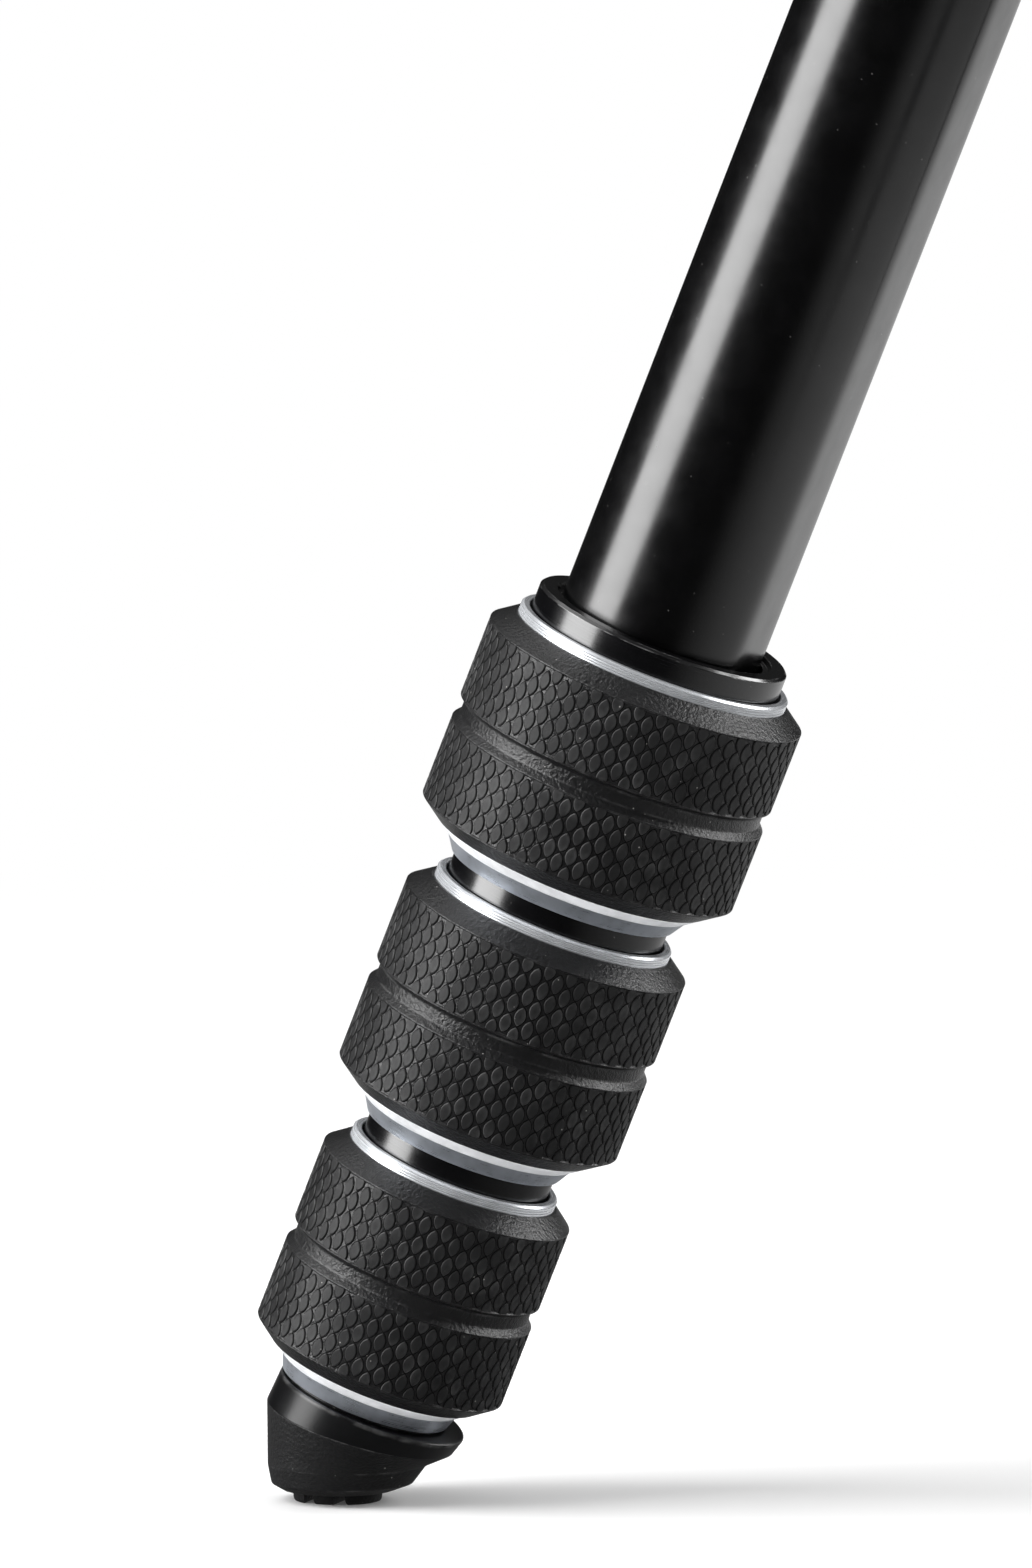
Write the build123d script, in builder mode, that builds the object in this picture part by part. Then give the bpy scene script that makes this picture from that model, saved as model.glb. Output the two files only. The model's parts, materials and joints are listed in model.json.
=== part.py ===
from build123d import *
import os
from math import cos, radians, sin

# A travel camera tripod, standing on its three collapsed legs.
# Millimetres, +Z up. The origin is on the camera pad, at the foot of the camera screw.
# Each leg is drawn once in its own frame: hinge at the origin, the leg hanging along -Z,
# +X away from the column, and the hinge pin along Y. The legs are then set round the crown.

# Stance
LEAN = 22.0  # degrees between a standing leg and the vertical
LEG_LENGTH = 372.0  # from the hinge to the floor, along a collapsed leg
HINGE_RADIUS = 33.0  # from the column's axis to a hinge
LEG_AZIMUTHS = (180.0, 300.0, 60.0)
STOP_ANGLES = (0.0, 29.0, 60.0)  # where the angle tab can lock a leg, counted from the standing lean

# Leg tubes, largest first. Each has one flat, on the side towards the column.
TUBE_RADII = (11.25, 9.2, 7.35, 5.65)
TUBE_WALL = 1.2
FLAT_HALF_ANGLE = 26.0  # half the arc that the flat cuts away, in degrees
FIRST_TUBE_TOP = 20.0  # from the hinge to the top of the largest tube
TUBE_TOP_STEP = 1.5  # by which each smaller tube starts lower than the one round it
TUBE_SEAT = 14.0  # how far a tube reaches into its lock, below the top of the grip
BUSH_LENGTH = 14.0
BUSH_CLEARANCE = 0.15

# Twist locks, largest first
GRIP_RADII = (17.5, 15.75, 13.9)
FLANGE_RADII = (13.85, 12.05, 10.4)  # the black collar that shows above each lock
LOCK_PITCH = 29.6  # from one lock to the next
LAST_LOCK_TO_FLOOR = 38.6
FLANGE_RISE = 3.75  # of the collar above the grip
FLANGE_DROP = 0.3
FLANGE_BEVEL = 0.3
THREAD_STEP = 0.85  # from the flange in to the threaded barrel
BARREL_LENGTH = 21.7
THREAD_CLEARANCE = 0.15
RING_GAP = 0.25  # between the collar and the bright ring round it
RING_WALL = 0.9
RING_RISE = 1.1
RING_BEVEL = 0.25
GRIP_LENGTH = 23.5
GRIP_CHAMFER = 1.7
GRIP_CHAMFER_INSET = 2.3
GROOVE_START = 10.5
GROOVE_LENGTH = 2.6
GROOVE_DEPTH = 0.65
GROOVE_UPPER_SLOPE = 0.45
GROOVE_LOWER_SLOPE = 0.75
CONE_LENGTH = 2.9
CONE_KNEE_DROP = 1.2
CONE_KNEE_INSET = 1.6
LIP_WALL = 0.2
LIP_DEPTH = 0.85
LOCK_FLOOR = 3.5  # thickness of the inner flange that pushes the collet
LOCK_FLOOR_CLEARANCE = 0.3
COLLET_CLEARANCE = 0.15
COLLET_START = 14.3
COLLET_END = 21.6
COLLET_SLIT = 1.2

# Foot. It is fuller on the side towards the column, so its sections stand off that way.
FOOT_NECK_RADIUS = 8.9
FOOT_SHOULDER_RADIUS = 10.45
FOOT_SHOULDER_OFFSET = 1.15
FOOT_SHOULDER_GAP = 0.3  # below the last lock
FOOT_RIM_RADIUS = 10.3
FOOT_RIM_OFFSET = 0.7
FOOT_RIM_RISE = 9.0  # above the floor, along the leg
FOOT_RIM_TILT = 5.0
SOLE_RADIUS = 7.1
SOLE_RISE = 1.75
SOLE_OFFSET = 2.0
PAD_RADIUS = 4.7
PAD_OFFSET = 1.5
TREAD_WIDTH = 1.3
TREAD_PITCH = 3.4
TREAD_DEPTH = 0.6
FOOT_SOCKET_RISE = 6.0  # of the lowest tube's end above the floor

# Hinges
LUG_HALF_WIDTH = 7.7
LUG_RADIUS = 17.0
EAR_INNER = 8.0
EAR_OUTER = 14.0
EAR_RADIUS = 12.5
EAR_DROP = 34.0
EAR_CHAMFER = 1.2
PIN_RADIUS = 3.0
PIN_CLEARANCE = 0.06
PIN_SEAT_CLEARANCE = 0.03
HEAD_RADIUS = 5.8
HEAD_THICKNESS = 2.0
HEAD_GAP = 0.2
HEAD_RECESS_RADIUS = 6.2
DRIVE_RADIUS = 2.2
DRIVE_DEPTH = 1.2

# Leg castings and their angle tabs
SOCKET_RADIUS = 13.6
SOCKET_TOP = 17.4
SOCKET_BOTTOM = 46.0
SOCKET_LIP = 0.7
PAD_REACH = 17.0
PAD_HALF_WIDTH = 7.4
PAD_BOTTOM = 38.0
TAB_INNER = 13.05
TAB_OUTER = 15.6
TAB_HALF_WIDTH = 4.8
TAB_BOTTOM = 32.0
TAB_GAP = 0.25
TAB_LIP_OUTER = 19.0
TAB_LIP_HALF_WIDTH = 3.3
TAB_LIP_HEIGHT = 5.0
TAB_LIP_CHAMFER = 0.6
NOSE_INNER = 10.5
NOSE_OUTER = 14.0
NOSE_TOP = 14.2
NOSE_HEIGHT = 3.0
TAB_TRAVEL = 5.5

# Crown and column
HUB_RADIUS = 21.0
CROWN_RISE = 12.0  # of the crown's deck above the hinges
CROWN_DROP = 14.0
CROWN_CHAMFER = 1.5
BOSS_RADIUS = 15.0
BOSS_RISE = 12.0
COLUMN_RADIUS = 11.0
COLUMN_WALL = 1.5
COLUMN_LENGTH = 240.0
BUSH_WALL = 1.5
BUSH_LIP = 1.0
BUSH_SLITS = 3
BUSH_SLIT_LENGTH = 12.0
COLUMN_CLEARANCE = 0.15
COLUMN_KNOB_RADIUS = 20.5
COLUMN_KNOB_CORE = 18.0
COLUMN_KNOB_LENGTH = 17.0
COLUMN_KNOB_GAP = 0.3
COLUMN_KNOB_FLOOR = 2.5
COLUMN_GRIP_MARGIN = 1.5
COLUMN_GRIP_CHAMFER = 1.2
COLUMN_HEAD_RADIUS = 19.0
COLUMN_HEAD_THICKNESS = 4.0
COLUMN_HEAD_CHAMFER = 0.6
COLUMN_HEAD_GAP = 0.5
COLUMN_PLUG_LENGTH = 12.0
STUD_RADIUS = 4.76  # three eighths of an inch across
STUD_LENGTH = 8.0
STUD_CLEARANCE = 0.1
STUD_HEAD_RADIUS = 8.0
STUD_HEAD_THICKNESS = 4.0
STUD_DRIVE_RADIUS = 3.5
STUD_DRIVE_DEPTH = 2.5
CAP_RADIUS = 12.3
CAP_THICKNESS = 4.0
CAP_CHAMFER = 0.8
HOOK_EAR_DROP = 6.0
HOOK_EAR_THICKNESS = 3.0
HOOK_EAR_HALF_WIDTH = 3.2
HOOK_WIRE_RADIUS = 1.4
HOOK_CLEARANCE = 0.15
HOOK_INNER_HALF_WIDTH = 6.0
HOOK_DROP = 16.5
HOOK_TOP_BEND = 2.5
HOOK_BOTTOM_BEND = 7.2

# Ball head, from the bottom up
BASE_RADIUS = 19.5
BASE_CHAMFER = 0.8
BASE_HEIGHT = 11.9
TURN_GAP = 0.3
SPIGOT_RADIUS = 15.4
SPIGOT_HEIGHT = 5.0
HOUSING_TOP_RADIUS = 17.2
HOUSING_HEIGHT = 28.3
HOUSING_TAPER_START = 14.0
HOUSING_RIM_BEVEL = 0.8
BALL_RADIUS = 14.0
BALL_GAP = 0.3
RIM_ABOVE_BALL = 7.5
CUP_HEIGHT = 8.0
CUP_GAP = 0.2
CUP_BORE_RADIUS = 6.0
STEM_RADIUS = 5.0
STEM_NOTCH_GAP = 0.5
STEM_LENGTH = 24.2  # from the ball's centre to the top of the stem's flange
STEM_FLANGE_RADIUS = 9.0
STEM_FLANGE_THICKNESS = 1.8
STEM_FILLET = 1.2
PIVOT_RADIUS = 4.0
PIVOT_HEIGHT = 4.5
PIVOT_CLEARANCE = 0.08
KNOB_RADIUS = 10.5
KNOB_LENGTH = 17.0
KNOB_SHAFT_RADIUS = 3.0
KNOB_GAP = 0.5
KNOB_CHAMFER = 1.2
KNOB_BELOW_BALL = 8.0
KNOB_BOSS_RADIUS = 8.0
KNOB_BOSS_STEP = 0.5
KNOB_LOBES = 12
KNOB_LOBE_RADIUS = 1.6
PAN_KNOB_RADIUS = 5.5
PAN_KNOB_LENGTH = 11.0
PAN_SHAFT_RADIUS = 1.5
PAN_KNOB_CHAMFER = 0.8
SHAFT_CLEARANCE = 0.08
SHAFT_TIP_GAP = 0.2

# Clamp and camera plate
PAD_THICKNESS = 1.0
PAD_MARGIN = 2.0
PAD_CORNER = 2.0
PLATE_LENGTH = 50.0
PLATE_HALF_WIDTH = 19.0
PLATE_HEIGHT = 8.5
PLATE_CORNER = 2.2
DOVETAIL_FOOT = 1.2
DOVETAIL_INSET = 2.5  # the dovetail's sides lean in as far as they rise
DOVETAIL_GAP = 0.3
JAW_RISE = 4.0  # of the jaws' lips above the plate's underside
JAW_LIP_GAP = 0.3
JAW_WALL = 3.6
JAW_SPLIT_OFFSET = 14.0  # from the head's axis to where the moving jaw begins
JAW_SPLIT_GAP = 0.3
JAW_PIN_RADIUS = 1.2
JAW_PIN_SPACING = 30.0
JAW_PIN_LENGTH = 8.0
JAW_PIN_CLEARANCE = 0.15
CLAMP_LENGTH = 42.0
CLAMP_HEIGHT = 7.7
CLAMP_CORNER = 3.0
CLAMP_KNOB_RADIUS = 7.0
CLAMP_KNOB_LENGTH = 11.0
CLAMP_SHAFT_RADIUS = 2.5
CLAMP_SHAFT_REACH = 5.5  # of the shaft's tip from the head's axis
SCREW_RADIUS = 3.175  # a quarter of an inch across
SCREW_NECK_RADIUS = 2.7  # below the thread, so that the screw stays in its plate
SCREW_LENGTH = 5.5
SCREW_TIP_CHAMFER = 0.5
SCREW_HEAD_RADIUS = 7.0
SCREW_HEAD_THICKNESS = 2.6
SCREW_HEAD_RECESS = 0.4
SCREW_SLOT_WIDTH = 1.6
SCREW_SLOT_DEPTH = 1.2
SCREW_CLEARANCE = 0.15

# Heights, worked out downwards from the camera pad
plate_top = -PAD_THICKNESS
plate_bottom = plate_top - PLATE_HEIGHT
clamp_top = plate_bottom - DOVETAIL_GAP
clamp_bottom = clamp_top - CLAMP_HEIGHT
stem_top = clamp_bottom - TURN_GAP
ball_z = stem_top - STEM_LENGTH
housing_top = ball_z + RIM_ABOVE_BALL
housing_bottom = housing_top - HOUSING_HEIGHT
base_top = housing_bottom - TURN_GAP
base_bottom = base_top - BASE_HEIGHT
column_top = base_bottom
column_bottom = column_top - COLUMN_LENGTH
column_knob_top = column_top - COLUMN_HEAD_THICKNESS - COLUMN_HEAD_GAP
deck_z = column_knob_top - COLUMN_KNOB_LENGTH - COLUMN_KNOB_GAP
hinge_z = deck_z - CROWN_RISE
crown_bottom = hinge_z - CROWN_DROP

# Stations along a leg, from the hinge: the top edge of each grip, and the two ends of each tube
lock_stations = [LEG_LENGTH - LAST_LOCK_TO_FLOOR - LOCK_PITCH * n for n in (2, 1, 0)]
tube_tops = [FIRST_TUBE_TOP + TUBE_TOP_STEP * n for n in range(len(TUBE_RADII))]
tube_bottoms = [s + TUBE_SEAT for s in lock_stations] + [LEG_LENGTH - FOOT_SOCKET_RISE]
flat_distances = [r * cos(radians(FLAT_HALF_ANGLE)) for r in TUBE_RADII]
next_flanges = FLANGE_RADII[1:] + (FOOT_NECK_RADIUS,)

# The floor, seen from a leg's own frame. Its x axis points away from the column.
floor_plane = Plane(
    origin=(0, 0, -LEG_LENGTH),
    x_dir=(cos(radians(LEAN)), 0, -sin(radians(LEAN))),
    z_dir=(sin(radians(LEAN)), 0, cos(radians(LEAN))),
)


def turned(points):
    """A solid of revolution about Z, from its half section as (radius, height) points."""
    with BuildPart() as body:
        with BuildSketch(Plane.XZ):
            with BuildLine():
                Polyline(*points, close=True)
            make_face()
        revolve(axis=Axis.Z)
    return body.part


def flatted_disc(radius, flat_distance):
    """A round section with one flat, on the side towards the column."""
    with BuildSketch() as section:
        Circle(radius)
        with Locations((-flat_distance - radius, 0)):
            Rectangle(2 * radius, 2 * radius, mode=Mode.SUBTRACT)
    return section.sketch


def flatted_tube(outer, inner, top, length):
    """A straight tube between two flatted sections, hanging down from its top."""
    with BuildPart() as tube:
        with BuildSketch(Plane.XY.offset(-top - length)):
            add(outer)
            add(inner, mode=Mode.SUBTRACT)
        extrude(amount=length)
    return tube.part


def leg_tube(i):
    """Tube i of a leg, with its bonded pieces as separate solids.

    A threaded collar and a split collet sit at its lower end, and a guide bush at its upper end.
    """
    radius = TUBE_RADII[i]
    flat = flat_distances[i]
    outer = flatted_disc(radius, flat)
    inner = flatted_disc(radius - TUBE_WALL, flat - TUBE_WALL)
    pieces = [flatted_tube(outer, inner, tube_tops[i], tube_bottoms[i] - tube_tops[i])]
    if i > 0:
        slack = TUBE_WALL + BUSH_CLEARANCE
        bush = flatted_disc(TUBE_RADII[i - 1] - slack, flat_distances[i - 1] - slack)
        pieces.append(flatted_tube(bush, outer, tube_tops[i], BUSH_LENGTH))
    if i < len(lock_stations):
        pieces.append(collar(i))
        pieces.append(collet(i))
    return Compound(children=pieces)


def collar(i):
    """The black threaded collar on the end of tube i: a flange that shows, and a barrel inside the nut."""
    bore = TUBE_RADII[i]
    flange = FLANGE_RADII[i]
    barrel = flange - THREAD_STEP
    top = FLANGE_RISE - lock_stations[i]
    shoulder = -FLANGE_DROP - lock_stations[i]
    bottom = -BARREL_LENGTH - lock_stations[i]
    return turned(
        [
            (bore, top),
            (flange - FLANGE_BEVEL, top),
            (flange, top - FLANGE_BEVEL),
            (flange, shoulder),
            (barrel, shoulder),
            (barrel, bottom),
            (bore, bottom),
        ]
    )


def collet(i):
    """The split sleeve that the nut squeezes on to tube i + 1, inside the collar of tube i."""
    top = -COLLET_START - lock_stations[i]
    height = COLLET_END - COLLET_START
    outer = TUBE_RADII[i] - COLLET_CLEARANCE
    with BuildPart() as sleeve:
        with BuildSketch(Plane.XY.offset(top - height)):
            Circle(outer)
            Circle(TUBE_RADII[i + 1] + COLLET_CLEARANCE, mode=Mode.SUBTRACT)
            with Locations((outer, 0)):
                Rectangle(2 * TUBE_RADII[i], COLLET_SLIT, mode=Mode.SUBTRACT)
        extrude(amount=height)
    return sleeve.part


def ring_radius(i):
    """Outer radius of the bright ring round collar i, which is also the core under the rubber."""
    return FLANGE_RADII[i] + RING_GAP + RING_WALL


def lock_nut(i):
    """The aluminium nut of lock i, with its bright ring on top and its bright cone below the rubber."""
    top = -lock_stations[i]
    ring = ring_radius(i)
    mouth = FLANGE_RADII[i] + RING_GAP
    thread = FLANGE_RADII[i] - THREAD_STEP + THREAD_CLEARANCE
    cone_top = GRIP_RADII[i] - GRIP_CHAMFER_INSET
    opening = next_flanges[i] + RING_GAP
    floor_bore = TUBE_RADII[i + 1] + LOCK_FLOOR_CLEARANCE
    bottom = top - GRIP_LENGTH - CONE_LENGTH
    floor_bottom = bottom + LIP_DEPTH
    return turned(
        [
            (mouth, top + RING_RISE),
            (ring - RING_BEVEL, top + RING_RISE),
            (ring, top + RING_RISE - RING_BEVEL),
            (ring, top - GRIP_LENGTH),
            (cone_top, top - GRIP_LENGTH),
            (cone_top - CONE_KNEE_INSET, top - GRIP_LENGTH - CONE_KNEE_DROP),
            (opening + LIP_WALL, bottom),
            (opening, bottom),
            (opening, floor_bottom),
            (floor_bore, floor_bottom),
            (floor_bore, floor_bottom + LOCK_FLOOR),
            (thread, floor_bottom + LOCK_FLOOR),
            (thread, top - 2 * FLANGE_DROP),
            (mouth, top - 2 * FLANGE_DROP),
        ]
    )


def lock_grip(i):
    """The rubber grip of lock i: two bands with a groove between them."""
    top = -lock_stations[i]
    radius = GRIP_RADII[i]
    edge = radius - GRIP_CHAMFER_INSET
    groove_top = top - GROOVE_START
    groove_bottom = groove_top - GROOVE_LENGTH
    core = ring_radius(i)
    return turned(
        [
            (core, top),
            (max(edge, core + LIP_WALL), top),
            (radius, top - GRIP_CHAMFER),
            (radius, groove_top),
            (radius - GROOVE_DEPTH, groove_top - GROOVE_UPPER_SLOPE),
            (radius - GROOVE_DEPTH, groove_bottom + GROOVE_LOWER_SLOPE),
            (radius, groove_bottom),
            (radius, top - GRIP_LENGTH + GRIP_CHAMFER),
            (max(edge, core + LIP_WALL), top - GRIP_LENGTH),
            (core, top - GRIP_LENGTH),
        ]
    )


def foot():
    """The rubber foot, whose pad lies flat on the floor when the leg stands at its lean."""
    lock_bottom = lock_stations[-1] + GRIP_LENGTH + CONE_LENGTH
    shoulder_plane = Plane.XY.offset(-lock_bottom - FOOT_SHOULDER_GAP)
    rim_plane = Plane(
        origin=(-FOOT_RIM_OFFSET, 0, FOOT_RIM_RISE - LEG_LENGTH),
        x_dir=(cos(radians(FOOT_RIM_TILT)), 0, -sin(radians(FOOT_RIM_TILT))),
        z_dir=(sin(radians(FOOT_RIM_TILT)), 0, cos(radians(FOOT_RIM_TILT))),
    )
    neck_height = LIP_DEPTH  # it ends as far inside the lock's lip as the shoulder stands below it
    with BuildPart() as boot:
        with BuildSketch(floor_plane.offset(SOLE_RISE)):
            with Locations((-SOLE_OFFSET, 0)):
                Circle(SOLE_RADIUS)
        with BuildSketch(rim_plane):
            Circle(FOOT_RIM_RADIUS)
        with BuildSketch(shoulder_plane):
            with Locations((-FOOT_SHOULDER_OFFSET, 0)):
                Circle(FOOT_SHOULDER_RADIUS)
        loft(ruled=True)
        with BuildSketch(shoulder_plane):
            Circle(FOOT_NECK_RADIUS)
        extrude(amount=neck_height)
        with BuildSketch(floor_plane):
            with Locations((-PAD_OFFSET, 0)):
                Circle(PAD_RADIUS)
        extrude(amount=SOLE_RISE)
        with BuildSketch(floor_plane):
            with Locations((-PAD_OFFSET, 0)):
                with GridLocations(TREAD_PITCH, 0, 2, 1):
                    Rectangle(TREAD_WIDTH, 2 * PAD_RADIUS)
        extrude(amount=TREAD_DEPTH, mode=Mode.SUBTRACT)
        with BuildSketch(Plane.XY.offset(FOOT_SOCKET_RISE - LEG_LENGTH)):
            add(flatted_disc(TUBE_RADII[-1], flat_distances[-1]))
        extrude(amount=LEG_LENGTH, mode=Mode.SUBTRACT)
    return boot.part


def leg_casting():
    """The casting on top of a leg: a socket for the tube, two ears on the hinge pin and the tab's track."""
    track_width = TAB_HALF_WIDTH + TAB_GAP
    mouth_width = TAB_LIP_HALF_WIDTH + TAB_GAP
    track_floor = TAB_INNER - TAB_GAP
    track_roof = TAB_OUTER + TAB_GAP
    track_bottom = TAB_BOTTOM + TAB_GAP
    with BuildPart() as casting:
        with BuildSketch(Plane.XY.offset(-SOCKET_BOTTOM)):
            Circle(SOCKET_RADIUS)
        extrude(amount=SOCKET_BOTTOM - SOCKET_TOP)
        with BuildSketch(Plane.XY.offset(-SOCKET_BOTTOM)):
            Circle(SOCKET_RADIUS + SOCKET_LIP)
        extrude(amount=2 * SOCKET_LIP)
        with BuildSketch(Plane.XY.offset(-PAD_BOTTOM)):
            with Locations((PAD_REACH / 2, 0)):
                Rectangle(PAD_REACH, 2 * PAD_HALF_WIDTH)
        extrude(amount=PAD_BOTTOM - SOCKET_TOP)
        with BuildSketch(Plane.XZ.offset(-EAR_OUTER)):
            Circle(EAR_RADIUS)
            with Locations((0, -EAR_DROP / 2)):
                Rectangle(2 * EAR_RADIUS, EAR_DROP)
        extrude(amount=2 * EAR_OUTER)
        outer_edges = casting.edges().filter_by(GeomType.CIRCLE).filter_by(
            lambda e: round(e.radius, 3) == round(EAR_RADIUS, 3)
        )
        chamfer(outer_edges, EAR_CHAMFER)
        # the gap between the ears, which the crown's lug turns in
        with BuildSketch(Plane.XZ.offset(-EAR_INNER)):
            with Locations((0, LEG_LENGTH / 2 - SOCKET_TOP)):
                Rectangle(3 * EAR_RADIUS, LEG_LENGTH)
        extrude(amount=2 * EAR_INNER, mode=Mode.SUBTRACT)
        # the tube's socket, the pin's bore and the recesses for its two heads
        with BuildSketch(Plane.XY.offset(-SOCKET_BOTTOM)):
            Circle(TUBE_RADII[0])
        extrude(amount=SOCKET_BOTTOM - tube_tops[0], mode=Mode.SUBTRACT)
        with BuildSketch(Plane.XZ.offset(-EAR_OUTER)):
            Circle(PIN_RADIUS + PIN_CLEARANCE)
        extrude(amount=2 * EAR_OUTER, mode=Mode.SUBTRACT)
        for side in (-1, 1):
            with BuildSketch(Plane.XZ.offset(side * EAR_OUTER)):
                Circle(HEAD_RECESS_RADIUS)
            extrude(amount=-side * (HEAD_THICKNESS + HEAD_GAP), mode=Mode.SUBTRACT)
        # the tab's track, closed over by two lips
        with BuildSketch(Plane.XY.offset(-track_bottom)):
            with Locations(((track_floor + track_roof) / 2, 0)):
                Rectangle(track_roof - track_floor, 2 * track_width)
            with Locations((PAD_REACH, 0)):
                Rectangle(PAD_REACH - track_floor + TAB_GAP, 2 * mouth_width)
        extrude(amount=track_bottom, mode=Mode.SUBTRACT)
    return casting.part


def angle_tab():
    """The sliding tab that locks a leg at one of its angles. It is drawn released."""
    with BuildPart() as tab:
        with BuildSketch(Plane.XY.offset(-TAB_BOTTOM)):
            with Locations(((TAB_INNER + TAB_OUTER) / 2, 0)):
                Rectangle(TAB_OUTER - TAB_INNER, 2 * TAB_HALF_WIDTH)
        extrude(amount=TAB_BOTTOM - NOSE_TOP)
        with BuildSketch(Plane.XY.offset(-NOSE_TOP)):
            with Locations(((NOSE_INNER + NOSE_OUTER) / 2, 0)):
                Rectangle(NOSE_OUTER - NOSE_INNER, 2 * TAB_HALF_WIDTH)
        extrude(amount=-NOSE_HEIGHT)
        with BuildSketch(Plane.XY.offset(-TAB_BOTTOM)):
            with Locations(((TAB_OUTER + TAB_LIP_OUTER) / 2, 0)):
                Rectangle(TAB_LIP_OUTER - TAB_OUTER, 2 * TAB_LIP_HALF_WIDTH)
        extrude(amount=TAB_LIP_HEIGHT)
        lip_edges = tab.edges().group_by(Axis.X)[-1]
        chamfer(lip_edges, TAB_LIP_CHAMFER)
    return tab.part


def hinge_bolt():
    """A hinge pin with a socket head at each end, through the lug and both ears."""
    reach = EAR_OUTER
    with BuildPart() as bolt:
        with BuildSketch(Plane.XZ.offset(-reach)):
            Circle(PIN_RADIUS)
        extrude(amount=2 * reach)
        for side in (-1, 1):
            with BuildSketch(Plane.XZ.offset(side * reach)):
                Circle(HEAD_RADIUS)
            extrude(amount=-side * HEAD_THICKNESS)
            with BuildSketch(Plane.XZ.offset(side * reach)):
                RegularPolygon(DRIVE_RADIUS, 6)
            extrude(amount=-side * DRIVE_DEPTH, mode=Mode.SUBTRACT)
    return bolt.part


def on_leg(azimuth, lean=LEAN):
    """Where a leg's own frame sits in the tripod."""
    return Location((0, 0, hinge_z), (0, 0, azimuth)) * Location((HINGE_RADIUS, 0, 0), (0, -lean, 0))


def lug_plane(azimuth, lean=0.0):
    """The plane across a hinge, in which a leg swings. Its y axis runs up the leg."""
    return Plane(on_leg(azimuth, lean) * Rotation(90, 0, 0))


def knob(radius, length, shaft_radius, shaft_length, chamfer_size):
    """A scalloped hand knob on its shaft. It points along +Z, with its inner face at the origin."""
    with BuildPart() as body:
        with BuildSketch():
            Circle(radius)
        extrude(amount=length)
        chamfer(body.edges().filter_by(GeomType.CIRCLE), chamfer_size)
        with BuildSketch():
            with PolarLocations(radius + KNOB_LOBE_RADIUS / 2, KNOB_LOBES):
                Circle(KNOB_LOBE_RADIUS)
        extrude(amount=length, mode=Mode.SUBTRACT)
        with BuildSketch():
            Circle(shaft_radius)
        extrude(amount=-shaft_length)
    return body.part


os.makedirs("parts", exist_ok=True)

# The four tubes, the locks, the foot, the casting and the tab of each leg
leg_pieces = {
    "casting": leg_casting(),
    "angle_tab": angle_tab(),
    "foot": foot(),
}
for i in range(len(TUBE_RADII)):
    leg_pieces[f"tube_{i + 1}"] = leg_tube(i)
for i in range(len(lock_stations)):
    leg_pieces[f"lock_nut_{i + 1}"] = lock_nut(i)
    leg_pieces[f"grip_{i + 1}"] = lock_grip(i)
for leg, azimuth in enumerate(LEG_AZIMUTHS, start=1):
    for name, piece in leg_pieces.items():
        placed = piece.moved(on_leg(azimuth, LEAN))
        placed.label = f"leg_{leg}_{name}"
        export_step(placed, f"parts/{placed.label}.step")

# The three hinge bolts, in one node
pivot_bolts = Compound(children=[hinge_bolt().moved(on_leg(a, LEAN)) for a in LEG_AZIMUTHS])
pivot_bolts.label = "leg_pivot_bolts"
export_step(pivot_bolts, "parts/leg_pivot_bolts.step")

# The crown: a hub round the column, a threaded boss on its deck, and a lug for each leg with a notch
# for each angle that the tab can lock
bush_outer = COLUMN_RADIUS + COLUMN_CLEARANCE + BUSH_WALL
crown_height = CROWN_RISE + CROWN_DROP
notch_back = NOSE_INNER - TAB_GAP
notch_roof = NOSE_TOP - TAB_TRAVEL - TAB_GAP
notch_half_width = TAB_HALF_WIDTH + TAB_GAP
with BuildPart() as crown:
    with BuildSketch(Plane.XY.offset(crown_bottom)):
        Circle(HUB_RADIUS)
    extrude(amount=crown_height)
    for azimuth in LEG_AZIMUTHS:
        with BuildSketch(lug_plane(azimuth).offset(-LUG_HALF_WIDTH)):
            with BuildLine():
                Polyline(
                    (-HINGE_RADIUS, CROWN_RISE),
                    (0, CROWN_RISE),
                    (0, -CROWN_DROP),
                    (-HINGE_RADIUS, -CROWN_DROP),
                    close=True,
                )
            make_face()
            Circle(LUG_RADIUS)
            with Locations((0, CROWN_RISE + LUG_RADIUS)):
                Rectangle(2 * LUG_RADIUS, 2 * LUG_RADIUS, mode=Mode.SUBTRACT)
        extrude(amount=2 * LUG_HALF_WIDTH)
    chamfer(crown.faces().sort_by(Axis.Z)[-1].edges(), CROWN_CHAMFER)
    with BuildSketch(Plane.XY.offset(deck_z)):
        Circle(BOSS_RADIUS)
    extrude(amount=BOSS_RISE)
    with BuildSketch(Plane.XY.offset(crown_bottom)):
        Circle(bush_outer)
    extrude(amount=crown_height + BOSS_RISE, mode=Mode.SUBTRACT)
    for azimuth in LEG_AZIMUTHS:
        with BuildSketch(lug_plane(azimuth).offset(-LUG_HALF_WIDTH)):
            Circle(PIN_RADIUS + PIN_SEAT_CLEARANCE)
        extrude(amount=2 * LUG_HALF_WIDTH, mode=Mode.SUBTRACT)
        for stop in STOP_ANGLES:
            with BuildSketch(lug_plane(azimuth, LEAN + stop).offset(-notch_half_width)):
                with Locations((notch_back, -notch_roof)):
                    Rectangle(LUG_RADIUS, LUG_RADIUS, align=(Align.MIN, Align.MAX))
            extrude(amount=2 * notch_half_width, mode=Mode.SUBTRACT)
crown.part.label = "crown"
export_step(crown.part, "parts/crown.step")

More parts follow.
